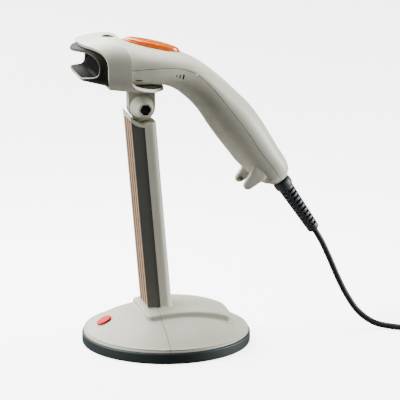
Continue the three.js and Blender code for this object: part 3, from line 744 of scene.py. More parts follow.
COLUMN_FOOT_Z = 33
COLUMN_FRONT_Y = -17.8
COLUMN_MID_Y = -7.4
COLUMN_REAR_Y = 2.2
COLUMN_LEAN = 0.083
COLUMN_CORNER = 5
COLUMN_FLARE = 1.2
HINGE_Y = -19
HINGE_Z = 185.6
HINGE_CUT_RADIUS = 11.75
BAND_THICKNESS = 2.1
FIN_COUNT = 4
FIN_DEPTH = 2.4
FIN_GROOVE = 3.8


def under_hinge(y, radius):
    """Where the leaning line through y (stated at the column's foot) meets that circle, level at the rear."""
    k = COLUMN_LEAN
    a = np.minimum(y - k * (HINGE_Z - COLUMN_FOOT_Z) - HINGE_Y, 5)
    root = np.sqrt(np.maximum((a * k) ** 2 - (1 + k * k) * (a * a - radius * radius), 0))
    return HINGE_Z + (a * k - root) / (1 + k * k)


def leaned(x, y, z):
    """A point of the column's foot plan, carried along its lean to height z."""
    return np.stack([x, y - COLUMN_LEAN * (z - COLUMN_FOOT_Z), z], -1)


def column_channel():
    """The column's pale back, open to the front, with a flared foot and a round cut under the hinge."""
    w, c = COLUMN_HALF_WIDTH, COLUMN_CORNER
    near = np.column_stack([np.full(9, w), np.linspace(COLUMN_MID_Y, COLUMN_REAR_Y - c, 9)])
    corner = arc((w - c, COLUMN_REAR_Y - c), c, 0, 90, 14)
    half = np.vstack([near, corner[1:], [[w - c - 2.4 * i, COLUMN_REAR_Y] for i in range(1, 4)]])
    path = np.vstack([half, half[::-1] * [-1, 1]])
    out = outward(path)
    out[0], out[-1] = (1, 0), (-1, 0)
    x, y = path.T
    foot_z = plinth_height(np.hypot(x, y))
    top_z = under_hinge(y, HINGE_CUT_RADIUS + 1)
    rows = [leaned(*(path + out * COLUMN_FLARE).T, foot_z - 1)]
    for a in np.radians(np.linspace(0, 90, 7)):
        wide = path + out * COLUMN_FLARE * (1 - math.sin(a))
        rows.append(leaned(*wide.T, foot_z + COLUMN_FLARE * (1 - math.cos(a))))
    for t in np.linspace(0, 1, 60)[1:]:
        rows.append(leaned(x, y, lerp(foot_z + COLUMN_FLARE, top_z, t)))
    shell = sheet_mesh("column_channel", np.array(rows))
    facing_out(shell, lambda centre: leaned(0, COLUMN_MID_Y, centre[2]))
    return round_edges(thicken(shell, SHELL_WALL), 0.75, 4)


def column_band():
    """The thin round-cut cap that bridges the column's front and rear under the hinge."""
    w, c = COLUMN_HALF_WIDTH + 0.06, COLUMN_CORNER
    y = np.concatenate([np.linspace(COLUMN_FRONT_Y, COLUMN_REAR_Y - c, 40),
                        COLUMN_REAR_Y - c + c * np.sin(np.radians(np.linspace(0, 90, 14)[1:]))])
    half = w - c + np.sqrt(np.maximum(c * c - np.maximum(y - COLUMN_REAR_Y + c, 0) ** 2, 0))
    x = np.linspace(-1, 1, 25) * half[:, None]
    y = np.repeat(y[:, None], 25, 1)
    upper = leaned(x, y, under_hinge(y, HINGE_CUT_RADIUS))
    lower = leaned(x, y, under_hinge(y, HINGE_CUT_RADIUS + BAND_THICKNESS))
    return slab("column_band", upper, lower)


def column_tongue():
    """The flat tongue of the column that the cradle's two cheeks turn on."""
    head = arc((HINGE_Y, HINGE_Z), 8.5, -20, 200, 30)
    outline = np.vstack([head, [[-25.4, 177], [-22.6, 173], [-21.4, 150], [-13.9, 150], [-13, 176]]])
    tongue = side_prism("column_tongue", outline, -1.8, 1.8)
    return round_edges(tongue, 0.35)


def ribbed_insert():
    """The dark front of the column: a channel whose front has upright fins with grooves between."""
    half = COLUMN_HALF_WIDTH - 0.5
    fin = (2 * half - (FIN_COUNT - 1) * FIN_GROOVE) / FIN_COUNT
    path = []
    for i in range(FIN_COUNT):
        x = -half + i * (fin + FIN_GROOVE)
        path += [(x + 0.25, COLUMN_FRONT_Y), (x + fin - 0.25, COLUMN_FRONT_Y)]
        if i < FIN_COUNT - 1:
            path += [(x + fin + 0.25, COLUMN_FRONT_Y + FIN_DEPTH),
                     (x + fin + FIN_GROOVE - 0.25, COLUMN_FRONT_Y + FIN_DEPTH)]
    back, floor = COLUMN_MID_Y - 0.1, COLUMN_FRONT_Y + FIN_DEPTH + SHELL_WALL
    path += [(half, back), (half - SHELL_WALL, back), (half - SHELL_WALL, floor),
             (SHELL_WALL - half, floor), (SHELL_WALL - half, back), (-half, back)]
    path = np.array(path)
    x, y = path[:, 0], path[:, 1]
    top = under_hinge(y, HINGE_CUT_RADIUS + BAND_THICKNESS + 0.25)
    rows = [leaned(x, y, lerp(np.full(len(x), INSERT_FOOT_Z), top, t)) for t in np.linspace(0, 1, 16)]
    insert = lofted("ribbed_insert", rows)
    return round_edges(insert, 0.55, 3, 40)


for part in (column_channel(), round_edges(column_band(), 0.5, 3), column_tongue()):
    finish_piece(smooth(part), "stand", "pale_plastic", pale, "stand_rear_shell")
insert = smooth(ribbed_insert())
finish_piece(insert, "stand", "insert_plastic", insert_dark, "column_insert")
insert.data.materials.append(fin_painted_highlight)
insert.data.materials.append(groove_painted_shade)
# The fins' fronts take the tan copy (painted highlight), and the faces in the grooves take the dark brown
# copy (painted shade).
for face in insert.data.polygons:
    x, y, z = face.center / MM
    depth = y + COLUMN_LEAN * (z - COLUMN_FOOT_Z) - COLUMN_FRONT_Y
    if depth < 0.9 and abs(face.normal.z) < 0.7:
        face.material_index = 1
    elif depth < FIN_DEPTH + 0.3 and abs(x) < COLUMN_HALF_WIDTH - 0.9:
        face.material_index = 2


# ---------------------------------------------------------------- badge

BADGE_PLACE = (0, -48.6, 18.6)
BADGE_NORMAL = (0, -0.46, 0.89)


def badge_material():
    made = Shader("badge_red").set(Coat_Weight=0.04, Coat_Roughness=0.2, Specular_IOR_Level=0.1)
    made.clouded(5, 3, linear(196, 2, 14), linear(210, 6, 20)).rough(3, 3, 0.4, 0.5)
    return made.bump(made.noise(1.2, 2), 0.006).material


BADGE_PROFILE = [[0, 0.2], [6, 0.2], [6, 0.9], [5.85, 1.15], [5.5, 1.25], [5.2, 1.15], [5.0, 1.02],
                 [4.6, 1.05], [3, 1.2], [0, 1.32]]
badge = placed(turned("badge_disc", BADGE_PROFILE, 96), BADGE_PLACE, BADGE_NORMAL)
finish_piece(smooth(badge, 60), "stand", "badge_red", badge_material(), "base_badge")


# ---------------------------------------------------------------- cradle

HEAD_MID_Z = 219.5
COLLAR_HALF_WIDTH = 34
COLLAR_WALL = 2.4
CROWN_HOLE_RADIUS = 4.8
CROWN_HOLE_Y = -45
CROWN_HOLE_X = 5.6
COLLAR_TOP = smooth_table([[-72, 235.5], [-68, 237.1], [-60, 239.5], [-50, 241.2], [-44, 241.4], [-36, 240.2],
                           [-28, 239]])
COLLAR_BOTTOM = smooth_table([[-53, 201.6], [-47, 201.4], [-31, 199.2], [-12, 198], [0, 198.9]])
COLLAR_FRONT = smooth_table([[-20, -65.5], [0, -67.5], [20, -65.5], [40, -60], [60, -54], [80, -50.6],
                             [100, -50], [125, -49], [150, -46.5], [180, -45.5], [210, -46.5]])
COLLAR_REAR = smooth_table([[-40, -36.5], [0, -37.5], [40, -36.5], [70, -33], [100, -32.2], [118, -31],
                            [132, -27], [145, -20], [160, -10], [180, -2], [200, -10]])


def from_crown(angle):
    """Degrees away from the crown, 0 to 180, for an angle in radians."""
    degrees = np.degrees(angle) % 360
    return np.where(degrees > 180, 360 - degrees, degrees)


def collar_point(y, angle):
    up = COLLAR_TOP(y) - HEAD_MID_Z
    down = HEAD_MID_Z - COLLAR_BOTTOM(y)
    x, z = super_point(angle, COLLAR_HALF_WIDTH, up, down, np.where(np.cos(angle) > 0, 2.8, 3))
    return np.stack([x, y, HEAD_MID_Z + z], -1)


def even_angles(count, point_at):
    """Angles that set the points of a closed outline at equal steps, with the crown half-way along."""
    angle = np.linspace(-math.pi, math.pi, 2400)
    ring = point_at(angle)
    far = np.concatenate([[0], np.cumsum(np.linalg.norm(np.diff(ring, axis=0), axis=1))])
    return np.interp(np.linspace(0, far[-1], count), far, angle)


def cradle_collar():
    """The ring round the scanner's head, with its swept front and rear edges and the hole in its crown."""
    columns, rows = 281, 57
    angle = even_angles(columns, lambda a: collar_point(np.full(len(a), -45.0), a))
    front, rear = COLLAR_FRONT(from_crown(angle)), COLLAR_REAR(from_crown(angle))
    grid = np.array([collar_point(lerp(front, rear, t), angle) for t in np.linspace(0, 1, rows)])
    top = COLLAR_TOP(CROWN_HOLE_Y)
    grid, gone = open_hole(grid, (CROWN_HOLE_X, CROWN_HOLE_Y, top), (0, 0, 1), (0, 1, 0),
                           CROWN_HOLE_RADIUS, CROWN_HOLE_RADIUS, spread=1.7)
    collar = pierced_sheet("cradle_collar", grid, gone)
    facing_out(collar, lambda centre: np.array([0, centre[1], HEAD_MID_Z]))
    return round_edges(thicken(collar, COLLAR_WALL), 0.75, 4)


KNUCKLE_RADIUS = 10.2
CHEEK_INNER = 2.6
CHEEK_OUTER = 4.8
BOSS_END_X = 17.5
BOSS_BASE_RADIUS = 9.4
BOSS_END_RADIUS = 5.3
POCKET_FLATS = 7.7
ROUND_POCKET_RADIUS = 4.3
POCKET_DEPTH = 6
NECK_TOP_Z = 203


def cradle_neck():
    """The forked neck under the collar: two cheeks with a slot for the column's tongue, and a wide top."""
    front, rear = HINGE_Y - KNUCKLE_RADIUS, HINGE_Y + KNUCKLE_RADIUS
    foot = arc((HINGE_Y, HINGE_Z), KNUCKLE_RADIUS, 180, 360, 48)
    outline = np.vstack([[[front, NECK_TOP_Z]], foot, [[rear, NECK_TOP_Z]]])
    neck = side_prism("cradle_neck", outline, -CHEEK_OUTER, CHEEK_OUTER)
    slot_top = arc((HINGE_Y, HINGE_Z), 9.4, 0, 180, 24)
    slot = np.vstack([slot_top, [[-40, HINGE_Z], [-40, 160], [0, 160], [0, HINGE_Z]]])
    cut(neck, side_prism("slot", slot, -CHEEK_INNER, CHEEK_INNER))
    pedestal = box_mesh("pedestal", (-10, front + 0.02, 197.2), (10, rear - 0.02, 202.5))
    return round_edges(fuse(neck, pedestal), 0.7, 3)


def cone_boss(name, side, flats):
    """A conical boss; its end has a hexagonal pocket of that width, or a round one where flats is None."""
    segments = 144
    angle = full_turn(segments)
    if flats:
        turn = (angle + math.pi / 6) % (math.pi / 3) - math.pi / 6
        pocket = flats / 2 / np.cos(turn)
    else:
        pocket = np.full(segments, ROUND_POCKET_RADIUS)
    length = BOSS_END_X - CHEEK_OUTER
    rows = []

    def row(radius, x):
        radius = radius + np.zeros(segments)
        rows.append(np.stack([np.full(segments, x), radius * np.sin(angle), radius * np.cos(angle)], 1))

    row(0.05, BOSS_END_X - POCKET_DEPTH)
    row(pocket, BOSS_END_X - POCKET_DEPTH)
    row(pocket, BOSS_END_X)
    row(BOSS_END_RADIUS, BOSS_END_X)
    for t in np.linspace(0, 1, 12)[1:]:
        row(lerp(BOSS_END_RADIUS, BOSS_BASE_RADIUS, t), BOSS_END_X - length * t)
    row(BOSS_BASE_RADIUS, CHEEK_OUTER - 0.6)
    boss = lofted(name, rows)
    boss = round_edges(boss, 0.32, 3, 35)
    for vertex in boss.data.vertices:
        vertex.co.x *= side
        vertex.co.y += HINGE_Y * MM
        vertex.co.z += HINGE_Z * MM
    if side < 0:
        boss.data.flip_normals()
    return boss


PLUG_PROFILE = [[0, 0.1], [4.4, 0.1], [4.4, 0.7], [4.2, 0.9], [3.4, 0.9], [3.2, 0.6], [0, 0.6]]
PLUG_SUNK = 1.55


def crown_plug():
    """The black dished plug that closes the hole in the collar's crown from inside."""
    plug = turned("crown_plug", PLUG_PROFILE, 64)
    return placed(plug, (CROWN_HOLE_X, CROWN_HOLE_Y, COLLAR_TOP(CROWN_HOLE_Y) - PLUG_SUNK), (0, 0, 1))


for part in (cradle_collar(), cradle_neck()):
    finish_piece(smooth(part), "cradle", "pale_plastic", pale, "scanner_cradle")
finish_piece(smooth(crown_plug()), "cradle", "part_black", plug_black)
for name, side, flats in (("cradle_boss_near", 1, POCKET_FLATS), ("cradle_boss_far", -1, None)):
    finish_piece(smooth(cone_boss(name, side, flats)), "cradle", "pale_plastic", pale, "scanner_cradle")


# ---------------------------------------------------------------- scanner body

# Each station: top [y, z], bottom [y, z], half width, share of the height above the parting line, power.
STATIONS = [
    [-47, 238.1, -47, 204.3, 30.6, 0.58, 2.6],
    [-38, 237.9, -38, 204, 30.5, 0.57, 2.6],
    [-26, 235.2, -26, 203.9, 30, 0.53, 2.6],
    [-12, 231.9, -13, 203.4, 28.4, 0.46, 2.6],
    [0, 228.9, -2, 202, 26, 0.39, 2.5],
    [12, 225.7, 6.9, 198, 23, 0.345, 2.4],
    [22, 221.2, 13.5, 193, 21, 0.325, 2.35],
    [33, 213.7, 20, 187, 19.4, 0.35, 2.3],
    [44, 204.4, 26.5, 179, 18.3, 0.39, 2.3],
    [55, 194, 33, 169, 17.6, 0.42, 2.3],
    [65, 183.8, 40.5, 158.3, 17.3, 0.44, 2.3],
    [73.7, 172.2, 48.5, 148, 17.2, 0.45, 2.3],
    [81.3, 159.9, 55, 139.5, 17.2, 0.46, 2.4],
    [88.2, 148.2, 61, 133.5, 17.1, 0.46, 2.5],
    [93.2, 140.3, 67.5, 127.5, 16.6, 0.465, 2.6],
    [95.8, 133.5, 74.6, 122.1, 14.5, 0.48, 2.6],
    [95.6, 128.8, 82.5, 119.7, 9.6, 0.5, 2.4],
]
BODY_ROWS = 190
BODY_WALL = 2.2
SEAM_GAP = 0.36
LENS_PLACE = (0, -10.5, 231.4)
LENS_HALF_LENGTH = 22.3
LENS_HALF_WIDTH = 10.5
LENS_SLOPE = math.atan(0.25)
LENS_UP = np.array([0, math.sin(LENS_SLOPE), math.cos(LENS_SLOPE)])
LENS_ALONG = np.array([0, math.cos(LENS_SLOPE), -math.sin(LENS_SLOPE)])


def station_curve(*columns):
    """The smooth curve through those columns of the stations, as a function of the place along the body."""
    values = np.array(STATIONS)[:, list(columns)]
    return lambda t: spline(values, t)


body_top, body_bottom, body_section = station_curve(0, 1), station_curve(2, 3), station_curve(4, 5, 6)


def body_point(t, angle):
    """A point of the outer skin, for a place along the body and an angle from its crown."""
    top, bottom = body_top(t), body_bottom(t)
    half, share, power = body_section(t)
    middle = lerp(top, bottom, share)
    up = (top - bottom) / np.linalg.norm(top - bottom)
    power = np.where(np.cos(angle) > 0, power - 0.3, power)
    x, height = super_point(angle, half, np.linalg.norm(top - middle), np.linalg.norm(bottom - middle), power)
    return np.column_stack([x, middle + up * height[:, None]])


def body_half(upper):
    """The upper or lower half of the outer skin, short of the seam, with a lip that closes in on the boot."""
    columns = 129
    places = np.linspace(0, 1, BODY_ROWS)
    angle = np.linspace(-math.pi / 2, math.pi / 2, 1200) + (0 if upper else math.pi)
    grid = np.array([respaced(body_point(t, angle), columns) for t in places])
    rise = body_top(places) - body_bottom(places)
    away = rise / np.linalg.norm(rise, axis=1)[:, None] * (1 if upper else -1)
    fade = np.zeros(columns)
    fade[0] = fade[-1] = SEAM_GAP / 2
    grid[:, :, 1:] += away[:, None] * fade[None, :, None]
    end = grid[-1].copy()
    middle = np.array([0, *lerp(body_top(1.0), body_bottom(1.0), 0.5)])
    lip = [(0.985, 0.3), (0.95, 0.45), (0.86, 0.48), (0.7, 0.48)]
    tail = [middle + (end - middle) * size + BOOT_DIR * out for size, out in lip]
    return np.concatenate([grid, np.array(tail)])


def body_middle(centre):
    """The point of the body's middle line that is nearest a point."""
    t = np.linspace(0, 1, 60)
    line = lerp(body_top(t), body_bottom(t), 0.5)
    nearest = line[np.argmin(np.linalg.norm(line - centre[1:], axis=1))]
    return np.array([0, *nearest])


def upper_cover():
    """The upper cover, with its opening for the trigger lens."""
    grid, gone = open_hole(body_half(True), LENS_PLACE, LENS_UP, LENS_ALONG,
                           LENS_HALF_LENGTH + 0.45, LENS_HALF_WIDTH + 0.45, spread=1.35, share=0.75)
    cover = pierced_sheet("upper_cover", grid, gone)
    facing_out(cover, body_middle)
    return round_edges(thicken(cover, BODY_WALL), 0.3)


def heel_prong(name, side):
    """One of the two prongs under the handle's end, lofted from inside the body down to its tip."""
    # Each row: front [y, z], rear [y, z], inner and outer x.
    sections = np.array([
        [65, 146, 73, 141, 9, 13.6],
        [64.8, 139, 76, 131.5, 9.6, 15.6],
        [63, 132, 75, 126.8, 10, 16.1],
        [60, 127.2, 70.4, 124.2, 10.3, 16],
        [58.2, 124.2, 67, 122, 10.6, 15.8],
        [57.9, 121.8, 64.6, 120.5, 10.8, 15.5],
        [58.8, 120.1, 62.8, 119.6, 11.4, 14.9],
        [60.2, 119.4, 61.2, 119.3, 12.6, 13.7],
    ])
    rows = []
    angle = full_turn(56)
    for section in spline(sections, np.linspace(0, 1, 60)):
        front, rear, (inner, outer) = section[0:2], section[2:4], section[4:6]
        across, along = super_point(angle, (outer - inner) / 2, 0.5, 0.5, 3.6)
        flat = lerp(front, rear, 0.5) + along[:, None] * (rear - front)
        rows.append(np.column_stack([((inner + outer) / 2 + across) * side, flat]))
    return lofted(name, rows)


def sound_slot(i):
    """A cutter for the i-th of the slots, which grow towards the tail."""
    long, half = 0.6 + 0.35 * i, 0.5 + 0.12 * i
    outline = np.vstack([arc((0, long), half, 0, 180, 9), arc((0, -long), half, 180, 360, 9)])
    tilt = math.radians(-8)
    turn = np.array([[math.cos(tilt), math.sin(tilt)], [-math.sin(tilt), math.cos(tilt)]])
    outline = outline @ turn + [3.6 + 2.75 * i, 211.9 - 0.6 * i]
    return side_prism("slot", outline, 12, 34)


def lower_cover():
    """The lower cover, with the sound slots and the latch's slot cut in its +X side."""
    cover = sheet_mesh("lower_cover", body_half(False))
    facing_out(cover, body_middle)
    cover = round_edges(thicken(cover, BODY_WALL), 0.3)
    slots = [sound_slot(i) for i in range(3)]
    latch = side_prism("latch", [[-28.2, 209.8], [-23.2, 209.6], [-23.2, 211], [-28.2, 211.2]], 20, 34)
    return cut(cover, *slots, latch)


finish_piece(smooth(upper_cover()), "scanner", "pale_plastic", pale, "upper_shell")
finish_piece(smooth(lower_cover()), "scanner", "pale_plastic", pale, "lower_shell")
PRONG_RECESS = (62.0, 122.6)
for name, side in (("heel_prong_near", 1), ("heel_prong_far", -1)):
    prong = heel_prong(name, side)
    recess = turned("recess", [[0, -13.8], [1.7, -13.8], [1.7, 13.8], [0, 13.8]], 40)
    placed(recess, (0, *PRONG_RECESS), (1, 0, 0))
    finish_piece(smooth(cut(prong, recess), 45), "scanner", "pale_plastic", pale, "lower_shell")


# ---------------------------------------------------------------- nose

BEZEL_HALF_WIDTH = 31
BEZEL_WALL = 2.4
BEZEL_BACK_Y = -47.3
BEZEL_COLUMNS = 256
BEZEL_HIGHLIGHT_ROWS = range(34, 38)         # the rows along the rolled lip that take the paler grey: a painted highlight
BEZEL_TOP = smooth_table([[-76, 231.7], [-73, 232.6], [-67, 234.4], [-60, 236.5], [-50, 238], [-47, 238.1]])
BEZEL_BOTTOM = smooth_table([[-76, 212.8], [-68, 210.4], [-47, 204.4], [-40, 202.5]])
BEZEL_LIP = smooth_table([[-20, -69], [0, -72.5], [20, -69], [40, -63.5], [58, -59.5], [75, -56.9],
                          [90, -56.4], [105, -59], [116, -64.5], [126, -67.6], [180, -67.8], [200, -67.8]])


def bezel_point(y, angle, inset=0.0):
    """A point of the bezel's skin, or of the skin that lies inset inside it."""
    up = BEZEL_TOP(y) - HEAD_MID_Z - inset
    down = HEAD_MID_Z - BEZEL_BOTTOM(y) - inset
    power = np.where(np.cos(angle) > 0, 2.5, 3.4)
    x, z = super_point(angle, BEZEL_HALF_WIDTH - inset, up, down, power)
    return np.stack([x, y, HEAD_MID_Z + z], -1)


def bezel_frame():
    """The dark tube round the mouth, with its swept lip rolled over into the wall inside."""
    angle = even_angles(BEZEL_COLUMNS + 1, lambda a: bezel_point(np.full(len(a), -55.0), a))[:-1]
    lip = BEZEL_LIP(from_crown(angle))
    radius = BEZEL_WALL / 2
    rows = [bezel_point(lerp(BEZEL_BACK_Y, lip + radius, t), angle) for t in np.linspace(0, 1, 30)]
    for a in np.radians(np.linspace(0, 180, 13)[1:]):
        rows.append(bezel_point(lip + radius - radius * math.sin(a), angle, radius * (1 - math.cos(a))))
    for t in np.linspace(1, 0, 30)[1:]:
        rows.append(bezel_point(lerp(BEZEL_BACK_Y, lip + radius, t), angle, BEZEL_WALL))
    return sheet_mesh("bezel_frame", np.array([*rows, rows[0]]), wrap=True)


bezel = smooth(bezel_frame(), 50)
finish_piece(bezel, "scanner", "nose_plastic", nose_dark, "nose_bezel")
bezel.data.materials.append(nose_lip_painted_highlight)
# The rows of the rolled lip take the paler grey: a painted highlight.
for face in bezel.data.polygons:
    if face.index // BEZEL_COLUMNS in BEZEL_HIGHLIGHT_ROWS:
        face.material_index = 1


WINDOW_Y = -55
WINDOW_LEAN = math.radians(20)


def scan_pane():
    """The leaning window at the back of the mouth, with a small chamfer round its front."""
    angle = full_turn(160)
    rows = []
    for inset, depth in ((0, 1.5), (0, 0.15), (0.15, 0), (2, 0), (5, 0), (7.3, 0)):
        x, z = super_point(angle, 27.4 - inset, 13.6 - inset, 7.6 - inset, 2.6)
        y = WINDOW_Y + z * math.sin(WINDOW_LEAN) + depth
        rows.append(np.column_stack([x, y, HEAD_MID_Z + z * math.cos(WINDOW_LEAN)]))
    return lofted("scan_pane", rows)


finish_piece(smooth(scan_pane()), "scanner", "window_dark", window_black, "scan_window")


# ---------------------------------------------------------------- trigger lens

LENS_PROFILE = [[0.02, 4.3], [0.15, 4.27], [0.3, 4.17], [0.45, 3.98], [0.6, 3.7], [0.72, 3.4],
                [0.8, 3.14], [0.86, 2.88], [0.9, 2.62], [0.925, 2.36], [0.94, 2.05], [0.95, 1.5],
                [0.955, 1.06], [0.97, 1.0], [0.985, 0.95], [0.995, 0.8], [1, 0.6], [1, -3.4], [0.8, -3.4],
                [0.8, -1], [0.3, 1.2], [0.02, 1.3]]


def trigger_cap():
    """The domed lens with its rim, its skirt down into the body, and a fine groove across its crown."""
    profile = np.array(LENS_PROFILE)
    fine = np.vstack([respaced(profile[:17], 84), profile[17:]])
    angle = full_turn(160)
    across = fine[:, None, 0] * np.sin(angle)[None] * LENS_HALF_WIDTH
    along = fine[:, None, 0] * np.cos(angle)[None] * LENS_HALF_LENGTH
    height = np.repeat(fine[:, None, 1], len(angle), 1)
    groove = np.exp(-((along - 0.8) / 0.5) ** 2) * smoothstep(0.95, 0.86, fine[:, None, 0])
    height = height - np.where(height > 1.2, 0.35 * groove, 0)
    grid = along[..., None] * LENS_ALONG + height[..., None] * LENS_UP + np.array(LENS_PLACE)
    grid[..., 0] += across
    return lofted("trigger_cap", grid)


finish_piece(smooth(trigger_cap(), 50, weighted=False), "trigger", "lens_orange", lens_orange, "trigger_lens")


# ---------------------------------------------------------------- cord boot, tie and plug

BOOT_SLOTS = 10
BOOT_FIRST_SLOT = 9.2
BOOT_SLOT_PITCH = 3.7
BOOT_SLOT_WIDTH = 1.6
BOOT_SLOT_ROUND = 0.12
BOOT_SLOT_FLOOR = 3.3
BOOT_BORE = 2.5
BOOT_ROOT = [[0.02, -6.5], [4.2, -6.5], [4.2, 0.5]]     # radius and height, hidden inside the scanner's end


def cord_boot():
    """A tapered rubber boot whose slots leave rings joined by four webs."""
    slot_starts = BOOT_FIRST_SLOT + BOOT_SLOT_PITCH * np.arange(BOOT_SLOTS)
    soft, wide = BOOT_SLOT_ROUND, BOOT_SLOT_WIDTH
    edges = np.concatenate([[s - soft, s + soft, s + wide - soft, s + wide + soft] for s in slot_starts])
    heights = np.unique(np.concatenate([np.linspace(0.5, BOOT_LENGTH, 60), edges]).round(3))
    angle = full_turn(160)
    around = (np.degrees(angle) + 67.5) % 90
    window = smoothstep(12, 15, around) * smoothstep(78, 75, around)
    shape = smooth_table([[0.5, 6.75], [0.9, 7], [5.4, 7], [6.2, 6.7], [7, 6.15], [9, 5.95],
                          [BOOT_LENGTH - 2, 4.75], [BOOT_LENGTH - 0.6, 4.6], [BOOT_LENGTH, 4.1]])
    rows = []

    def row(radius, height):
        rows.append(np.column_stack([radius * np.cos(angle), radius * np.sin(angle), angle * 0 + height]))

    for radius, height in BOOT_ROOT:
        row(radius, height)
    for height in heights:
        inside = np.max([smoothstep(s - soft, s + soft, height)
                         * smoothstep(s + wide + soft, s + wide - soft, height) for s in slot_starts])
        row(shape(height) - inside * window * (shape(height) - BOOT_SLOT_FLOOR), height)
    row(BOOT_BORE, BOOT_LENGTH)
    row(BOOT_BORE, BOOT_LENGTH - 4)
    boot = lofted("cord_boot", rows)
    return placed(boot, BOOT_START, BOOT_DIR)


finish_piece(smooth(cord_boot(), 50), "scanner", "boot_rubber", boot_rubber, "strain_relief")


def tie_material():
    """Hook-and-loop strap: woven ribs under a low fuzz."""
    made = Shader("tie_fabric").set(Sheen_Weight=0.5, Sheen_Roughness=0.5)
    made.clouded(0.5, 4, linear(26, 27, 31), linear(46, 48, 54)).rough(1, 3, 0.8, 0.95)
    return made.bump(made.noise(0.35, 4), 0.15).bump(made.noise(0.9, 2, 1.5), 0.1).material


TIE_THICKNESS = 0.8
TIE_CORNER = 2.2
TIE_HALF_WIDTH = 5
TIE_LAP = slice(70, 108)                # the loop's steps that the strap's end covers a second time


def coil_strap():
    """A strap round the bundle on the coil's -X side, its end lapped over the top."""
    coil_half = 2 * CORD_PITCH
    inner, outer = COIL_MID_RADIUS - coil_half, COIL_MID_RADIUS + coil_half
    low, high = 0.85, 1.15 + 3 * CORD_PITCH + 0.25
    x0, x1 = -outer - 0.35, -inner + 1.0
    r = TIE_CORNER
    loop = np.vstack([
        arc((x0 + r, low + r), r, 180, 270, 9), arc((x1 - r, low + r), r, 270, 360, 9),
        arc((x1 - r, high - r), r, 0, 90, 9), arc((x0 + r, high - r), r, 90, 180, 9),
    ])
    loop = respaced(np.vstack([loop, loop[:1]]), 120)
    out = outward(loop)

    def band(steps, bottom, top, half):
        """The strap's section at each step, between two heights above the loop."""
        inside, outside = loop[steps] + out[steps] * bottom, loop[steps] + out[steps] * top
        corners = ((inside, -half), (outside, -half), (outside, half), (inside, half))
        return np.stack([np.insert(flat, 1, COIL_Y + y, axis=1) for flat, y in corners], 1)

    rows = band(slice(0, -1), 0, TIE_THICKNESS, TIE_HALF_WIDTH)
    strap = sheet_mesh("coil_strap", np.concatenate([rows, rows[:1]]), wrap=True)
    rows = band(TIE_LAP, TIE_THICKNESS + 0.03, 2 * TIE_THICKNESS, TIE_HALF_WIDTH * 0.94)
    lap = lofted("coil_strap_lap", rows)
    return [round_edges(part, 0.2, 2) for part in (strap, lap)]


tie_cloth = tie_material()
straps = coil_strap()
for strap in straps:
    finish_piece(smooth(strap), "stand", "tie_fabric", tie_cloth, "cord_tie")

PLUG_HEADING = math.radians(30)
PLUG_PLACE = (8, 284.6)
PLUG_AXIS_Z = 4


def side_box(name, near, far, half, z0, z1, shift=0.0):
    """A box that reaches from near to far along -X, shifted to one side."""
    return box_mesh(name, (-far, shift - half, z0), (-near, shift + half, z1))


def plug_body():
    """The plug's rubber grip: a ribbed neck on the cord, then a block with soft edges."""
    along = np.array([0, 0.8, 2.4, 3.2, 4.0, 4.8, 5.6, 6.4, 7.2, 8.0, 9.5, 11, 13, 26.4, 27.4, 28])
    wide = np.array([3.0, 3.5, 3.5, 3.1, 3.6, 3.1, 3.8, 3.3, 4.1, 3.9, 5.2, 6.6, 7.7, 7.7, 7.5, 7.0])
    thick = np.array([2.9, 3.3, 3.3, 3.0, 3.4, 3.0, 3.5, 3.1, 3.7, 3.5, 3.8, 3.9, 3.95, 3.95, 3.8, 3.4])
    power = np.interp(along, [0, 8, 13, 28], [2, 2, 4, 4.5])
    angle = full_turn(96)
    rows = []
    for s in np.linspace(0, 28, 113):
        half_width, half_height = np.interp(s, along, wide), np.interp(s, along, thick)
        x, z = super_point(angle, half_width, half_height, half_height, np.interp(s, along, power))
        rows.append(np.column_stack([np.full(len(angle), -s - 0.3), x, z + PLUG_AXIS_Z]))
    return lofted("plug_body", rows)


def plug_metal():
    """The plug's folded steel shell, with two latch windows in its top and two in its underside."""
    outer = side_box("plug_metal", 28.2, 44, 6, 1.75, 6.25)
    hollow = side_box("hollow", 29.5, 46, 5.65, 2.1, 5.9)
    windows = [side_box("window", 36, 38.4, 1.1, low, low + 3, shift)
               for low in (5, 0) for shift in (-2.6, 2.6)]
    return round_edges(cut(outer, hollow, *windows), 0.12, 2)


def laid(obj):
    """Turns a plug piece, made along -X, to where the cord's tail ends."""
    c, s = math.cos(-PLUG_HEADING), math.sin(-PLUG_HEADING)
    for vertex in obj.data.vertices:
        x, y = vertex.co.x, vertex.co.y
        vertex.co.x = c * x - s * y + PLUG_PLACE[0] * MM
        vertex.co.y = s * x + c * y + PLUG_PLACE[1] * MM
    return obj


plug_grip = laid(smooth(plug_body(), 45))
finish_piece(plug_grip, "stand", "boot_rubber", boot_rubber, "plug_grip")
plug_shell = laid(smooth(plug_metal()))
finish_piece(plug_shell, "stand", "plug_steel", plug_steel, "plug_shell")
plug_tongue = laid(smooth(round_edges(side_box("plug_tongue", 29, 43.2, 5.2, 2.3, 3.9), 0.15, 2)))
finish_piece(plug_tongue, "stand", "part_white", plug_white)


# ---------------------------------------------------------------- hinge nut and inner parts

NUT_PROFILE = [[3.9, 11.7], [4.15, 12], [4.15, 15.9], [3.85, 16.3], [2.6, 16.5]]    # corner radius and x


def cap_nut():
    """The black hexagon nut in the near boss."""
    angle = full_turn(6)
    rows = []
    for radius, x in NUT_PROFILE:
        rows.append(np.column_stack([np.full(6, x), HINGE_Y + radius * np.sin(angle),
                                     HINGE_Z + radius * np.cos(angle)]))
    return round_edges(lofted("cap_nut", rows), 0.12, 2, 20)


finish_piece(smooth(cap_nut()), "cradle", "black_oxide", black_metal, "hinge_nut")

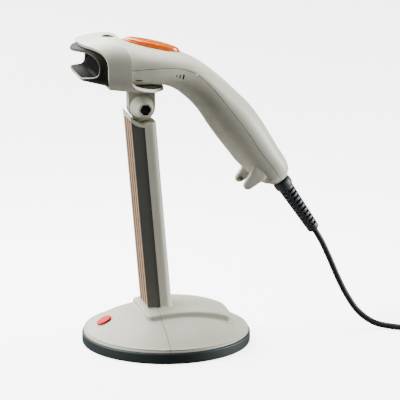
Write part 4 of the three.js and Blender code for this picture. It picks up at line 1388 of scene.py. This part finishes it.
# Materials of the CAD pieces that stay, by the name of the material slot they carry from model.glb.
CAD_LOOKS = {
    "steel": steel,
    "plate": moulded("plate", linear(58, 59, 61), 0.55, grain=0.9, depth=0.03, worn=0.3),
    "iron": metal("iron", linear(84, 84, 86), 0.62, 0.8, 0.03),
    "washer": moulded("washer", linear(40, 38, 36), 0.75, grain=0.3, depth=0.02),
    "board_green": moulded("board_green", linear(22, 84, 48), 0.35, grain=0.8, mottle=0.12),
    "part_black": moulded("part_black", linear(26, 26, 28), 0.5, grain=0.4),
    "part_white": moulded("part_white", linear(226, 224, 216), 0.45, grain=0.4),
    "brass": metal("brass", linear(196, 158, 86), 0.3),
    "copper_coil": metal("copper_coil", linear(190, 112, 74), 0.35, 0.4, 0.02),
    "mirror": metal("mirror", linear(228, 230, 232), 0.12, 6),
    "clear_light": moulded("clear_light", linear(226, 228, 222), 0.2, grain=0.6, Transmission_Weight=0.4),
}
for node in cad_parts.values():
    look = CAD_LOOKS.get(node.data.materials[0].name.split(".")[0])
    if look:
        node.data.materials[0] = look


# ---------------------------------------------------------------- stage and light

SEEN_FLOOR = 4.5                        # how brightly the camera sees the floor and the surroundings
SEEN_WORLD = 5
AMBIENT = 0.1
LIGHT_AIM = (0, 0.03, 0.12)             # metres, as the lights' places and sizes are
# Each light: name, place, width, height and power in watts.
LIGHTS = [
    ("overhead", (-0.2, -0.08, 0.54), 0.4, 0.4, 8),
    ("left", (-0.05, -1.1, 0.7), 0.6, 0.5, 28),
    ("right", (0.16, 1.3, 0.34), 0.6, 0.4, 34),
    ("back", (-1.5, -0.55, 0.62), 1.0, 0.7, 14),
]


def add_floor():
    """A white paper floor that is bright to look at, yet throws little light back up at the part."""
    bpy.ops.mesh.primitive_plane_add(size=12, location=(0, 0, 0))
    floor = bpy.context.object
    floor.name = "floor"
    made = Shader("floor_paper").set(Roughness=0.8)
    seen = made.nodes.new("ShaderNodeLightPath").outputs["Is Camera Ray"]
    paper = made.mixed(made.noise(300, 2), linear(250, 250, 250), linear(253, 253, 253))
    made.drive("Base Color", made.mixed(seen, linear(84, 84, 84), paper))
    made.drive("Emission Strength", made.ranged(seen, 0, 1, 0, SEEN_FLOOR))
    made.main.inputs["Emission Color"].default_value = (1, 1, 1, 1)
    floor.data.materials.append(made.material)


def add_light(name, place, width, height, power):
    data = bpy.data.lights.new(name, "AREA")
    data.shape = "RECTANGLE"
    data.size, data.size_y = width, height
    data.energy = power
    light = bpy.data.objects.new(name, data)
    light.location = place
    light.rotation_mode = "QUATERNION"
    light.rotation_quaternion = (Vector(LIGHT_AIM) - Vector(place)).to_track_quat("-Z", "Y")
    bpy.context.collection.objects.link(light)


def add_world():
    """Dim surroundings that are bright only to look at."""
    world = bpy.data.worlds.new("studio")
    world.use_nodes = True
    shade = world.node_tree.nodes["Background"]
    shade.inputs["Color"].default_value = (1, 1, 1, 1)
    path = world.node_tree.nodes.new("ShaderNodeLightPath")
    strength = world.node_tree.nodes.new("ShaderNodeMapRange")
    strength.inputs["To Min"].default_value = AMBIENT
    strength.inputs["To Max"].default_value = SEEN_WORLD
    world.node_tree.links.new(path.outputs["Is Camera Ray"], strength.inputs["Value"])
    world.node_tree.links.new(strength.outputs["Result"], shade.inputs["Strength"])
    bpy.context.scene.world = world


add_floor()
add_world()
for light in LIGHTS:
    add_light(*light)
